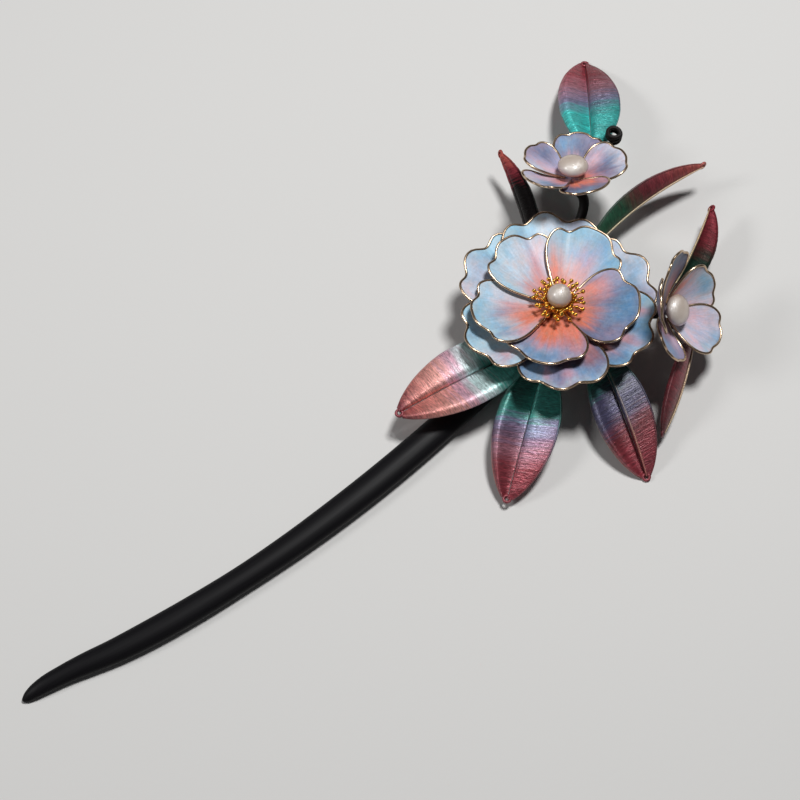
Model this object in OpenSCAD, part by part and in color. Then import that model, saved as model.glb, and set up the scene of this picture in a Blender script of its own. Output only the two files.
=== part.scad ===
/* [Stick] */
// Length of the wooden stick from its point to its head
stick_len = 171; // [160:1:176]
// Sideways bow of the stick at its middle
stick_bow = 8.7; // [4:0.1:10]
// Height of the stick's underside at its head above the table
stick_lift = 0.9; // [0.8:0.1:1.2]

/* [Main flower] */
// Reach of the lower tier's petals from the flower's middle
outer_reach = 27; // [25:0.5:28]
// Reach of the upper tier's petals
inner_reach = 22; // [20:0.2:22.4]
// Height between the two tiers at the middle
tier_gap = 2.6; // [2.4:0.1:3]
// Rise of a petal's tip above its root
petal_rise = 5; // [4:0.1:5.2]
// Diameter of the round pearl
main_pearl_d = 6.4; // [5.5:0.1:6.6]

/* [Small flowers] */
// Reach of a small flower's petals
small_reach = 14.6; // [13.8:0.1:14.8]
// Rise of a top petal's tip above its root
top_rise = 4.8; // [4:0.1:5.2]
// Rise of a side petal's tip above its root
side_rise = 8; // [7:0.1:8.2]
// Width of a small flower's button pearl
button_d = 8.2; // [7:0.1:8.4]

/* [Petal sheet] */
// Thickness of the petal film
film_t = 0.5; // [0.4:0.05:0.55]
// Thickness of a petal at its wire rim
rim_t = 0.8; // [0.6:0.05:0.85]

/* [Leaves] */
// Full width of a leaf
leaf_w = 17.5; // [15:0.5:18]
// Thickness of a leaf's two rounded halves
leaf_t = 1.9; // [1.5:0.1:2.2]
// Radius of a leaf's wound stalk
stalk_r = 0.75; // [0.6:0.05:0.85]

/* [Hidden] */

// Place of the stick's head end in the model's frame, whose origin is under the middle of the whole
head = [56.08, -3.62, 0];

// Stick sections: distance from the point, full width, full thickness, step of the middle to the left
STICK_AT = 0;
STICK_W = 1;
STICK_T = 2;
STICK_STEP = 3;
stick_rows = [
    [0, 0.9, 0.9, 0],
    [1, 2.2, 1.5, 0.2],
    [3, 3.4, 2.3, 0.6],
    [6, 4.3, 2.9, 1.0],
    [12, 5.1, 3.4, 1.2],
    [18, 5.9, 3.8, 0.9],
    [24, 6.4, 4.0, 0.4],
    [34, 6.9, 4.2, 0],
    [46, 6.9, 4.3, -0.2],
    [60, 6.7, 4.4, -0.3],
    [75, 7.0, 4.5, -0.3],
    [90, 7.4, 4.6, -0.2],
    [105, 7.6, 4.6, -0.1],
    [120, 7.6, 4.6, 0],
    [135, 7.6, 4.7, 0],
    [150, 7.6, 4.7, 0],
    [164, 7.6, 4.7, 0],
    [169, 6.6, 4.2, 0],
    [171, 3.8, 2.4, 0]];
// The row at which the stick's belly touches the table
belly_row = 4;
stick_end = 1;
stick_sides = 16;

// Binding sleeve round the stick's head: distance from the head end, middle across, half width,
// lowest, highest
BIND_AT = 0;
BIND_MID = 1;
BIND_HALF = 2;
BIND_LOW = 3;
BIND_HIGH = 4;
binding_rows = [
    [-17, -3.0, 4.4, 0.7, 6.5],
    [-15.5, -2.8, 4.9, 0.35, 7.4],
    [-11, -2.2, 5.3, 0.3, 8.2],
    [-6, -1.6, 5.6, 0.3, 8.6],
    [-1, -1.0, 5.4, 0.35, 8.2],
    [2, -0.8, 4.6, 0.5, 7.6],
    [3.5, -0.8, 3.0, 1.4, 6.4]];
binding_sides = 16;
stick_spare = 0.12;

// Flowers: middle of the petals' roots from the head end, compass of the lean, lean from upright
FLOWER_AT = 0;
FLOWER_COMPASS = 1;
FLOWER_LEAN = 2;
main_flower = [[-5.4, -3.5, 13.8], 52, 7];
top_flower = [[21.1, 22.6, 18.9], 52, 27];
side_flower = [[15.4, -21.2, 17.6], -55, 52];

// Petals: turn about the flower's middle, reach as a share, half of the spread in degrees, rise as a
// share, places of the rim's two notches across the petal from -1 to 1, and whether its clockwise and
// its counter-clockwise side lie under or over their neighbours
PETAL_TURN = 0;
PETAL_REACH = 1;
PETAL_SPREAD = 2;
PETAL_RISE = 3;
PETAL_NOTCHES = 4;
PETAL_SIDES = 5;
UNDER = -1;
OVER = 1;
outer_petals = [
    [-11, 1.01, 41, 1, [-0.25, 0.36], [UNDER, OVER]],
    [54, 1.06, 43, 1, [-0.22, 0.36], [UNDER, OVER]],
    [107.5, 1.03, 40, 1, [-0.25, 0.36], [UNDER, OVER]],
    [169, 0.99, 38, 1, [-0.33, 0.36], [UNDER, OVER]],
    [234, 0.95, 41, 1, [-0.37, 0.23], [UNDER, OVER]],
    [300, 0.97, 41, 1, [-0.36, 0.22], [UNDER, OVER]]];
inner_petals = [
    [25, 1.065, 40, 1, [-0.50, 0.43], [UNDER, OVER]],
    [88, 1.025, 41, 1, [-0.38, 0.43], [UNDER, OVER]],
    [155, 1.05, 40, 1, [-0.42, 0.43], [UNDER, OVER]],
    [214, 0.91, 52, 1, [-0.35, 0.45], [UNDER, OVER]],
    [316, 0.95, 49, 1, [-0.43, 0.52], [UNDER, OVER]]];
top_petals = [
    [40, 1.10, 38, 1, [-0.36, 0.36], [UNDER, UNDER]],
    [112, 0.95, 40, 1, [-0.36, 0.36], [OVER, OVER]],
    [179, 1.04, 40, 1, [-0.36, 0.36], [UNDER, OVER]],
    [251, 0.87, 50, 1, [-0.36, 0.36], [UNDER, OVER]],
    [343, 1.04, 42, 0.95, [-0.36, 0.36], [UNDER, OVER]]];
side_petals = [
    [9, 0.97, 44, 1.10, [-0.36, 0.36], [UNDER, OVER]],
    [84, 1.06, 38, 0.95, [-0.36, 0.36], [UNDER, OVER]],
    [150, 1.04, 42, 1.00, [-0.36, 0.36], [UNDER, OVER]],
    [222, 0.94, 43, 0.95, [-0.36, 0.36], [UNDER, UNDER]],
    [304, 1.00, 44, 1.05, [-0.36, 0.36], [OVER, OVER]]];

// Root of a petal: distance from the middle, half of its spread in degrees, share of the way over
// which it widens to the full spread
root_r = 1.6;
root_half = 30;
root_share = 0.2;
// Rim: share of the reach at a petal's corners, depth and width of its notches
main_rim = [0.46, 0.08, 0.16];
small_rim = [0.50, 0.03, 0.15];
// How late a petal rises, how far its corners curl up, how far a side lies over or under the middle
rise_power = 1.7;
corner_curl = 0.55;
side_step = 0.85;
// Shares of the way from a petal's root to its edge, and of the way from its middle to a side
along_rows = [0, 0.1, 0.24, 0.45, 0.68, 0.86, 0.96, 1];
across_rows = [-1, -0.9, -0.72, -0.52, -0.36, -0.2, 0, 0.2, 0.36, 0.52, 0.72, 0.9, 1];
small_along_rows = [0, 0.12, 0.3, 0.55, 0.8, 0.95, 1];
small_across_rows = [-1, -0.9, -0.62, -0.36, 0, 0.36, 0.62, 0.9, 1];

// Pearls: height of each seat over the petals' roots, height of a button pearl as a share of its width
main_seat = 4.9;
button_seat = 1.5;
button_share = 0.6;
pearl_fine = 48;
button_points = 14;

// Stamens: rings of number, distance of the ends, height of the ends, turn of the first
RING_COUNT = 0;
RING_R = 1;
RING_HIGH = 2;
RING_TURN = 3;
stamen_rings = [[10, 3.9, 7.8, 0], [12, 5.1, 7.3, 10], [14, 6.3, 6.6, 4]];
filament_r = 0.2;
filament_root = 2.2;
anther_r = 0.45;
cup_r = 3;
cup_low = 4.2;
cup_high = 4.75;

// Leaf sections along the blade: share of the length, share of the width, share of the thickness
BLADE_AT = 0;
BLADE_W = 1;
BLADE_T = 2;
blade_rows = [
    [0.00, 0.13, 0.50],
    [0.05, 0.31, 0.70],
    [0.13, 0.54, 0.85],
    [0.24, 0.79, 0.95],
    [0.36, 0.95, 1.00],
    [0.48, 1.00, 1.00],
    [0.60, 0.98, 1.00],
    [0.72, 0.86, 0.95],
    [0.82, 0.70, 0.85],
    [0.90, 0.52, 0.70],
    [0.96, 0.34, 0.55],
    [1.00, 0.18, 0.45]];
// Half section of a blade from its edge to the groove: share of the half width, share of the thickness
half_section = [[1, 0.1], [0.8, 0.74], [0.52, 1], [0.22, 0.78], [0, 0.1]];
// Depth of a blade's underside as a share of its thickness, and its half breadth as a share
underside = 0.34;
underside_w = 0.6;
// Turns of a stalk's points, as many as a blade section has
stalk_turns = [180, 157, 135, 112, 90, 68, 45, 22, 0, -45, -90, -135];
stalk_steps = [0, 0.5, 0.9];

// Leaves: stalk's start, blade's base, blade's tip, all from the head end; roll about the leaf's own
// length, fold of each half, upward arch at the middle, width as a share
LEAF_START = 0;
LEAF_BASE = 1;
LEAF_TIP = 2;
LEAF_ROLL = 3;
LEAF_FOLD = 4;
LEAF_ARCH = 5;
LEAF_WIDE = 6;
leaves = [
    [[-10, -5.0, 9.8], [-14, -6.5, 10.6], [-53.4, 0.8, 8.6], 0, 8, 2.0, 1.00],
    [[-10.5, -7.9, 7.8], [-14, -10, 7.8], [-44.6, -32.4, 2.4], 0, 8, 1.6, 0.96],
    [[-5, -9.0, 8.8], [-2.2, -16.2, 9.4], [-12.0, -49.19, 0.28], 8, 8, 2.4, 0.86],
    [[15.6, -22.6, 12.6], [19.5, -29.5, 11.0], [-1.9, -43.9, 4.6], 103, 20, -1.0, 0.66],
    [[17.6, -20.4, 12.4], [24.2, -15.8, 8.2], [49.0, -3.6, 9.4], 125, 45, 1.0, 0.58],
    [[3, -0.6, 9.4], [14.0, 6.2, 8.6], [55.4, 6.6, 10.8], -97, 35, 2.4, 0.57],
    [[-4, 3.5, 9.4], [1.0, 12.0, 8.6], [14.0, 43.6, 10.6], 104, 25, 1.0, 0.54],
    [[22.6, 20.2, 12.6], [32.6, 27.0, 13.4], [56.36, 55.85, 0.275], 0, 8, 1.5, 1.00]];

// Stems: routes from the head end
main_stem_r = 1.3;
main_stem_low = -4.6;
main_stem_high = 3.7;
small_stem_r = 1.35;
stem_sides = 10;
top_stem_route = [[5.0, 1.2, 5.4], [8.4, 6.2, 6.2], [13.6, 12.4, 8], [19.8, 15.4, 10.8],
                  [22.2, 17.6, 13.6], [21.6, 20.6, 15.9], [21.4, 21.4, 16.9]];
side_stem_route = [[5.6, -2.6, 5.2], [7.4, -6.6, 6.4], [10, -12, 9],
                   [12.6, -17, 12.6], [14.1, -19.8, 15.2], [14.6, -20.5, 16.1]];
// Shares of each corner's way at which a route is rounded
corner_steps = [0.15, 0.5, 0.85];

// Coil: a wire that leaves the top stem and ends in its own turns
coil_at = [40.2, 27.2, 14.2];
coil_r = 1.75;
coil_wire_r = 0.6;
coil_turns = 2.2;
coil_rise = 1.5;
coil_steps = 12;
coil_first = -150;
coil_sides = 8;
coil_lead = [[24.6, 19.4, 15.2], [30, 22.2, 15.4], [35.6, 24.2, 15.0]];

function unit(v) = v / norm(v);
function between(a, b, t) = a + (b - a) * t;
function ease(t) = t >= 1 ? 1 : t * (2 - t);
function turned(v, k, a) = v * cos(a) + cross(k, v) * sin(a) + k * (k * v) * (1 - cos(a));
function side_of(t) = unit(cross([0, 0, 1], t));

// Solid through a row of rings, each counter-clockwise about the way forward
module skin(rings) {
    n = len(rings[0]);
    m = len(rings);
    walls = [for (i = [0 : m - 2], j = [0 : n - 1])
        let (a = i * n + j, b = i * n + (j + 1) % n, c = a + n, d = b + n)
        each [[a, c, d], [a, d, b]]];
    caps = [[for (j = [0 : n - 1]) j], [for (j = [n - 1 : -1 : 0]) (m - 1) * n + j]];
    polyhedron([for (r = rings) each r], concat(walls, caps), convexity = 8);
}

// Solid between an upper and a lower sheet of rows of points
module sheet(upper, lower) {
    m = len(upper) - 1;
    n = len(upper[0]) - 1;
    w = n + 1;
    under = (m + 1) * w;
    tops = [for (i = [0 : m - 1], j = [0 : n - 1])
        let (a = i * w + j, b = a + w, c = b + 1, d = a + 1)
        each [[a, c, b], [a, d, c]]];
    bottoms = [for (f = tops) [f[0] + under, f[2] + under, f[1] + under]];
    border = concat(
        [for (i = [0 : m - 1]) i * w],
        [for (j = [0 : n - 1]) m * w + j],
        [for (i = [m : -1 : 1]) i * w + n],
        [for (j = [n : -1 : 1]) j]);
    walls = [for (k = [0 : len(border) - 1])
        let (a = border[k], b = border[(k + 1) % len(border)])
        each [[a, b, b + under], [a, b + under, a + under]]];
    points = concat([for (r = upper) each r], [for (r = lower) each r]);
    polyhedron(points, concat(tops, bottoms, walls), convexity = 6);
}

// Round tube of radius r through a route of points
module tube(route, r, sides) {
    last = len(route) - 1;
    ways = [for (i = [0 : last]) unit(route[min(i + 1, last)] - route[max(i - 1, 0)])];
    skin([for (i = [0 : last])
        let (s = side_of(ways[i]), u = cross(ways[i], s))
        [for (k = [0 : sides - 1])
            let (a = 360 * k / sides)
            route[i] + r * (cos(a) * s + sin(a) * u)]]);
}

// A route with its corners rounded by short curves
function corner(a, p, b) =
    let (before = (a + p) / 2, after = (p + b) / 2)
    [for (t = corner_steps) between(between(before, p, t), between(p, after, t), t)];
function rounded_route(p) = concat(
    [p[0]],
    [for (i = [1 : len(p) - 2]) each corner(p[i - 1], p[i], p[i + 1])],
    [p[len(p) - 1]]);

// Everything stands on the head end's place
module at_head() {
    translate(head) children();
}

module at_flower(flower) {
    at_head()
        translate(flower[FLOWER_AT])
            rotate([0, 0, flower[FLOWER_COMPASS]])
                rotate([0, flower[FLOWER_LEAN], 0])
                    rotate([0, 0, -flower[FLOWER_COMPASS]])
                        children();
}

// Stick
rows_len = stick_rows[len(stick_rows) - 1][STICK_AT];
belly = stick_rows[belly_row][STICK_AT] / rows_len;
function stick_mid(row, spare) =
    let (t = row[STICK_AT] / rows_len,
        end = t == 1 ? spare : 0,
        rise = stick_lift * abs(t - belly) / (1 - belly))
    [(t - 1) * stick_len + stick_end + end,
     row[STICK_STEP] - 4 * stick_bow * t * (1 - t),
     rise + row[STICK_T] / 2];
module stick_form(spare) {
    skin([for (row = stick_rows)
        [for (k = [0 : stick_sides - 1])
            let (a = 360 * k / stick_sides,
                 half_w = row[STICK_W] / 2 + spare,
                 half_t = row[STICK_T] / 2 + spare)
            stick_mid(row, spare) + [0, half_w * cos(a), half_t * sin(a)]]]);
}
module stick() {
    color("#1e1d20") at_head() stick_form(0);
}

module binding_form() {
    skin([for (row = binding_rows)
        let (mid = (row[BIND_LOW] + row[BIND_HIGH]) / 2, tall = (row[BIND_HIGH] - row[BIND_LOW]) / 2)
        [for (k = [0 : binding_sides - 1])
            let (a = 360 * k / binding_sides)
            [row[BIND_AT], row[BIND_MID] + row[BIND_HALF] * cos(a), mid + tall * sin(a)]]]);
}
module binding() {
    color("#241c1c") at_head() difference() {
        binding_form();
        stick_form(stick_spare);
    }
}

// Stems
module main_stem() {
    color("#2b2120") at_flower(main_flower) translate([0, 0, main_stem_low])
        cylinder(h = main_stem_high - main_stem_low, r = main_stem_r, $fn = 32);
}
module top_stem() {
    color("#2b2120") at_head() tube(rounded_route(top_stem_route), small_stem_r, stem_sides);
}
module side_stem() {
    color("#2b2120") at_head() tube(rounded_route(side_stem_route), small_stem_r, stem_sides);
}

// Petals
function notch(v, at, wide) = exp(-pow((v - at) / wide, 2));
function edge_share(petal, rim, v) =
    let (round = rim[0] + (1 - rim[0]) * sqrt(max(0, 1 - pow(abs(v), 3))),
        notches = notch(v, petal[PETAL_NOTCHES][0], rim[2]) + notch(v, petal[PETAL_NOTCHES][1], rim[2]))
    round * (1 - rim[1] * notches);
function petal_point(petal, reach, rise, rim, u, v) =
    let (edge = reach * petal[PETAL_REACH] * edge_share(petal, rim, v),
        rho = between(root_r, edge, u),
        theta = v * between(root_half, petal[PETAL_SPREAD], ease(u / root_share)),
        far = rho / reach,
        lift = rise * petal[PETAL_RISE] * pow(far, rise_power) + corner_curl * v * v * far * far,
        step = side_step * between(petal[PETAL_SIDES][0], petal[PETAL_SIDES][1], (v + 1) / 2))
    [rho * cos(theta), rho * sin(theta), lift + step];
function petal_face(petal, reach, rise, rim, us, vs, face) =
    [for (u = us) [for (v = vs)
        let (t = u == 1 || abs(v) == 1 ? rim_t : film_t)
        petal_point(petal, reach, rise, rim, u, v) + [0, 0, face * t / 2]]];
module petal(row, reach, rise, rim, us, vs) {
    rotate([0, 0, row[PETAL_TURN]]) sheet(
        petal_face(row, reach, rise, rim, us, vs, 1),
        petal_face(row, reach, rise, rim, us, vs, -1));
}
module outer_petal(i) {
    color("#9fc4de") at_flower(main_flower)
        petal(outer_petals[i - 1], outer_reach, petal_rise, main_rim, along_rows, across_rows);
}
module inner_petal(i) {
    color("#c9c3da") at_flower(main_flower) translate([0, 0, tier_gap])
        petal(inner_petals[i - 1], inner_reach, petal_rise, main_rim, along_rows, across_rows);
}
module top_petal(i) {
    color("#c9c3da") at_flower(top_flower)
        petal(top_petals[i - 1], small_reach, top_rise, small_rim, small_along_rows, small_across_rows);
}
module side_petal(i) {
    color("#c9c3da") at_flower(side_flower)
        petal(side_petals[i - 1], small_reach, side_rise, small_rim, small_along_rows, small_across_rows);
}

// Pearls
module main_pearl() {
    color("#ede4da") at_flower(main_flower) translate([0, 0, main_seat + main_pearl_d / 2])
        sphere(d = main_pearl_d, $fn = pearl_fine);
}
// A button pearl is a ball pressed flat, drawn as half an oval turned round
module button_pearl() {
    half = button_d * button_share / 2;
    side = [for (k = [1 : button_points - 1])
        let (a = 180 * k / button_points - 90)
        [button_d / 2 * cos(a), half * sin(a)]];
    translate([0, 0, button_seat + half]) rotate_extrude($fn = pearl_fine)
        polygon(concat([[0, -half]], side, [[0, half]]));
}
module top_pearl() {
    color("#ede4da") at_flower(top_flower) button_pearl();
}
module side_pearl() {
    color("#ede4da") at_flower(side_flower) button_pearl();
}

// Stamens on their cup
module filament(r, high) {
    foot = [filament_root, 0, (cup_low + cup_high) / 2];
    way = [r, 0, high] - foot;
    lean = acos(way[2] / norm(way));
    translate(foot) rotate([0, lean, 0]) cylinder(h = norm(way), r = filament_r, $fn = 16);
    translate([r, 0, high]) sphere(r = anther_r, $fn = 16);
}
module stamens() {
    color("#c89a3c") at_flower(main_flower) {
        translate([0, 0, cup_low]) cylinder(h = cup_high - cup_low, r = cup_r, $fn = 32);
        for (ring = stamen_rings, k = [0 : ring[RING_COUNT] - 1])
            rotate([0, 0, ring[RING_TURN] + 360 * k / ring[RING_COUNT]])
                filament(ring[RING_R], ring[RING_HIGH]);
    }
}

// Leaves
function blade_section(w, t, fold) =
    let (n = len(half_section),
        left = [for (p = half_section) [-p[0] * w * cos(fold), p[0] * w * sin(fold) + p[1] * t]],
        right = [for (i = [n - 2 : -1 : 0]) [-left[i][0], left[i][1]]],
        low = [underside_w * w * cos(fold), underside_w * w * sin(fold) - underside * t])
    concat(left, right, [low, [0, -underside * t], [-low[0], low[1]]]);
function blade_ring(mid, side, up, w, t, fold) =
    [for (p = blade_section(w, t, fold)) mid + side * p[0] + up * p[1]];
function stalk_ring(mid, side, up) =
    [for (a = stalk_turns) mid + stalk_r * (cos(a) * side + sin(a) * up)];
function leaf_rings(leaf) =
    let (start = leaf[LEAF_START], base = leaf[LEAF_BASE], tip = leaf[LEAF_TIP],
        way = unit(tip - base),
        left = turned(side_of(way), way, leaf[LEAF_ROLL]),
        up = cross(way, left),
        w = leaf_w / 2 * leaf[LEAF_WIDE],
        stalk = [for (t = stalk_steps) stalk_ring(between(start, base, t), -left, up)],
        blade = [for (row = blade_rows)
            let (t = row[BLADE_AT], mid = between(base, tip, t) + up * 4 * leaf[LEAF_ARCH] * t * (1 - t))
            blade_ring(mid, -left, up, w * row[BLADE_W], leaf_t * row[BLADE_T], leaf[LEAF_FOLD])])
    concat(stalk, blade);
module leaf(i) {
    color("#6f8fa0") at_head() skin(leaf_rings(leaves[i - 1]));
}

// Coil
module coil() {
    turns = [for (k = [0 : coil_turns * coil_steps])
        let (a = 360 * k / coil_steps + coil_first)
        coil_at + [coil_r * cos(a), coil_r * sin(a), coil_rise * k / coil_steps]];
    color("#2b2120") at_head() tube(concat(coil_lead, turns), coil_wire_r, coil_sides);
}

stick();
binding();
main_stem();
top_stem();
side_stem();
outer_petal(1);  // outer_petal_1
outer_petal(2);  // outer_petal_2
outer_petal(3);  // outer_petal_3
outer_petal(4);  // outer_petal_4
outer_petal(5);  // outer_petal_5
outer_petal(6);  // outer_petal_6
inner_petal(1);  // inner_petal_1
inner_petal(2);  // inner_petal_2
inner_petal(3);  // inner_petal_3
inner_petal(4);  // inner_petal_4
inner_petal(5);  // inner_petal_5
stamens();
main_pearl();
top_petal(1);  // top_petal_1
top_petal(2);  // top_petal_2
top_petal(3);  // top_petal_3
top_petal(4);  // top_petal_4
top_petal(5);  // top_petal_5
top_pearl();
side_petal(1);  // side_petal_1
side_petal(2);  // side_petal_2
side_petal(3);  // side_petal_3
side_petal(4);  // side_petal_4
side_petal(5);  // side_petal_5
side_pearl();
leaf(1);  // leaf_1
leaf(2);  // leaf_2
leaf(3);  // leaf_3
leaf(4);  // leaf_4
leaf(5);  // leaf_5
leaf(6);  // leaf_6
leaf(7);  // leaf_7
leaf(8);  // leaf_8
coil();
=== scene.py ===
"""A kanzashi hair stick: a satin black wooden stick with a wired cluster of three flowers and eight
silk-wound leaves at its head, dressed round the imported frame. Lengths are in millimetres here, and
each piece is turned to metres when its mesh is made."""

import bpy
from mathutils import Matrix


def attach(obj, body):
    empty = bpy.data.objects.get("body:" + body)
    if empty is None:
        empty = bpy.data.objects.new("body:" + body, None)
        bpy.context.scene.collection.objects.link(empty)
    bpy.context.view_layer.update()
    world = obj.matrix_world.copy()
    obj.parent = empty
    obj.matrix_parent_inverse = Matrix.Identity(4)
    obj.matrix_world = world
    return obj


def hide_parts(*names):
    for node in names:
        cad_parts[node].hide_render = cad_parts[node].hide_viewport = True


bl_info = {
    "name": "Kanzashi Hair Stick",
    "version": (1, 0, 0),
    "blender": (4, 5, 0),
    "location": "3D View > Sidebar > Kanzashi",
    "description": "Builds a hair stick with wire-rimmed flowers, pearls and silk-wound leaves",
    "category": "Object",
}

import math
import random
from collections import namedtuple

import bmesh
import bpy
import numpy as np
from mathutils import Matrix, Vector, noise

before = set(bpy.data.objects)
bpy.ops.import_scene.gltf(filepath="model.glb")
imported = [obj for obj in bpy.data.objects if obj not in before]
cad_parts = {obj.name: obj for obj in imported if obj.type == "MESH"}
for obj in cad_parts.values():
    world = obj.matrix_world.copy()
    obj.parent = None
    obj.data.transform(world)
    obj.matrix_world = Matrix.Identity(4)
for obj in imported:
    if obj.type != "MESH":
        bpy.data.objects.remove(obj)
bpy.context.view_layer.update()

MM = 0.001
BODY = "root"

# Place of the stick's head end, from which the pieces' own places are measured
HEAD = np.array((56.08, -3.62, 0.0))

# Stick: length, how far it goes on past the head's place, bow to the right, lift of the head end, and
# distance from the point of the place that rests on the surface
STICK_LEN = 171
STICK_PAST = 1
STICK_BOW = 8.7
STICK_LIFT = 0.9
STICK_REST = 12

# Stick sections: distance from the point, full width, full thickness, step of the middle to the left
STICK_ROWS = (
    (0, 0.9, 0.9, 0), (1, 2.2, 1.5, 0.2), (3, 3.4, 2.3, 0.6), (6, 4.3, 2.9, 1.0),
    (12, 5.1, 3.4, 1.2), (18, 5.9, 3.8, 0.9), (24, 6.4, 4.0, 0.4), (34, 6.9, 4.2, 0),
    (46, 6.9, 4.3, -0.2), (60, 6.7, 4.4, -0.3), (75, 7.0, 4.5, -0.3), (90, 7.4, 4.6, -0.2),
    (105, 7.6, 4.6, -0.1), (120, 7.6, 4.6, 0), (135, 7.6, 4.7, 0), (150, 7.6, 4.7, 0),
    (164, 7.6, 4.7, 0), (169, 6.6, 4.2, 0), (171, 3.8, 2.4, 0))

# Stretches of the stick, drawn closer at its ends: start, end, number of sections
STICK_STRETCHES = ((0, 6, 16), (6.8, STICK_LEN - 4, 160), (STICK_LEN - 3.5, STICK_LEN, 8))

# Points round the stick and the binding
ROUND_SIDES = 48

# Binding sections: distance from the head end, middle across, half width, lowest, highest
BINDING_ROWS = (
    (-17, -3.0, 4.4, 0.7, 6.5), (-15.5, -2.8, 4.9, 0.35, 7.4), (-11, -2.2, 5.3, 0.3, 8.2),
    (-6, -1.6, 5.6, 0.3, 8.6), (-1, -1.0, 5.4, 0.35, 8.2), (2, -0.8, 4.6, 0.5, 7.6),
    (3.5, -0.8, 3.0, 1.4, 6.4))

# Flowers: middle of the petals' roots, compass of the lean, lean from upright
MAIN_FLOWER = ((-5.4, -3.5, 13.8), 52, 7)
TOP_FLOWER = ((21.1, 22.6, 18.9), 52, 27)
SIDE_FLOWER = ((15.4, -21.2, 17.6), -55, 52)

# Height of the main flower's upper petals over its lower ones
TIER_GAP = 2.6

# Petals: turn, reach as a share, half spread, rise as a share, places of the rim's two notches, and
# whether the clockwise and the counter-clockwise side lie under or over the neighbours
UNDER, OVER = -1, 1
OUTER_PETALS = (
    (-11, 1.01, 41, 1, (-0.25, 0.36), (UNDER, OVER)),
    (54, 1.06, 43, 1, (-0.22, 0.36), (UNDER, OVER)),
    (107.5, 1.03, 40, 1, (-0.25, 0.36), (UNDER, OVER)),
    (169, 0.99, 38, 1, (-0.33, 0.36), (UNDER, OVER)),
    (234, 0.95, 41, 1, (-0.37, 0.23), (UNDER, OVER)),
    (300, 0.97, 41, 1, (-0.36, 0.22), (UNDER, OVER)))
INNER_PETALS = (
    (25, 1.065, 40, 1, (-0.50, 0.43), (UNDER, OVER)),
    (88, 1.025, 41, 1, (-0.38, 0.43), (UNDER, OVER)),
    (155, 1.05, 40, 1, (-0.42, 0.43), (UNDER, OVER)),
    (214, 0.91, 52, 1, (-0.35, 0.45), (UNDER, OVER)),
    (316, 0.95, 49, 1, (-0.43, 0.52), (UNDER, OVER)))
TOP_PETALS = (
    (40, 1.10, 38, 1, (-0.36, 0.36), (UNDER, UNDER)),
    (112, 0.95, 40, 1, (-0.36, 0.36), (OVER, OVER)),
    (179, 1.04, 40, 1, (-0.36, 0.36), (UNDER, OVER)),
    (251, 0.87, 50, 1, (-0.36, 0.36), (UNDER, OVER)),
    (343, 1.04, 42, 0.95, (-0.36, 0.36), (UNDER, OVER)))
SIDE_PETALS = (
    (9, 0.97, 44, 1.10, (-0.36, 0.36), (UNDER, OVER)),
    (84, 1.06, 38, 0.95, (-0.36, 0.36), (UNDER, OVER)),
    (150, 1.04, 42, 1.00, (-0.36, 0.36), (UNDER, OVER)),
    (222, 0.94, 43, 0.95, (-0.36, 0.36), (UNDER, UNDER)),
    (304, 1.00, 44, 1.05, (-0.36, 0.36), (OVER, OVER)))

# Shape of every petal: its root's distance from the middle and half spread, share of its length in which
# it opens to its own spread, power of its rise, curl of its corners, and how far a side is laid under or
# over its neighbour
ROOT_R = 1.6
ROOT_HALF = 37
ROOT_SHARE = 0.2
RISE_POWER = 1.7
CORNER_CURL = 0.55
SIDE_STEP = 0.85

# Powers of the rim's round outline and of the ruffle's growth towards it, and the distance from the
# middle inside which the wire's own width narrows a petal no further
ROUND_POWER = 3
RUFFLE_POWER = 4
NARROWING_R = 4

# Rim outlines: reach at a petal's sides as a share, depth of a notch as a share, width of a notch
MAIN_RIM = (0.46, 0.08, 0.16)
SMALL_RIM = (0.50, 0.03, 0.15)

# Kinds of petal: slot, number from which the seeds of its brush strokes count on, flower, height over its
# roots, reach, rise, rim outline, how deep the rim ruffles, share of the root's distance that the film
# goes on to the middle, distance at which the sides are fully parted, and the petals
PetalKind = namedtuple("PetalKind", "slot seed flower base reach rise rim ruffle inward parted petals")
PETAL_KINDS = {
    "outer_petal": PetalKind(
        "blue_film", 11, MAIN_FLOWER, 0, 27, 5, MAIN_RIM, 0.5, 0, 1.6, OUTER_PETALS),
    "inner_petal": PetalKind(
        "lilac_film", 11, MAIN_FLOWER, TIER_GAP, 22, 5, MAIN_RIM, 0.5, 0, 1.6, INNER_PETALS),
    "top_petal": PetalKind(
        "lilac_film", 9, TOP_FLOWER, 0, 14.6, 4.8, SMALL_RIM, 0.25, 0.85, 8, TOP_PETALS),
    "side_petal": PetalKind(
        "lilac_film", 10, SIDE_FLOWER, 0, 14.6, 8, SMALL_RIM, 0.25, 0.85, 8, SIDE_PETALS),
}

# Film: rows from root to rim, columns from side to side, and the distance from the middle at which its
# grain has its true width
FILM_ROWS = 34
FILM_COLUMNS = 60
GRAIN_R = 12

# Rim wire: points round it, shares of the petal's length from which to which it runs along a side, points
# on a side, step from ring to ring, and roughness of the gilt
RIM_SIDES = 10
RIM_FROM = 0.05
RIM_TO = 0.97
RIM_POINTS = 16
RIM_STEP = 0.45
RIM_ROUGHNESS = 0.25

# Brush strokes: how far they sway; how many fine and broad ones lie side by side at the ends of a wash,
# and how many at its sides; and how far an end, a side and a whole wash stray
STROKE_SWAY = 0.03
FINE_STROKES = 38
BROAD_STROKES = 17
SIDE_STROKES = 29
END_STRAY = 0.06
SIDE_STRAY = 0.05
WASH_SWAY = 0.06

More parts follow.
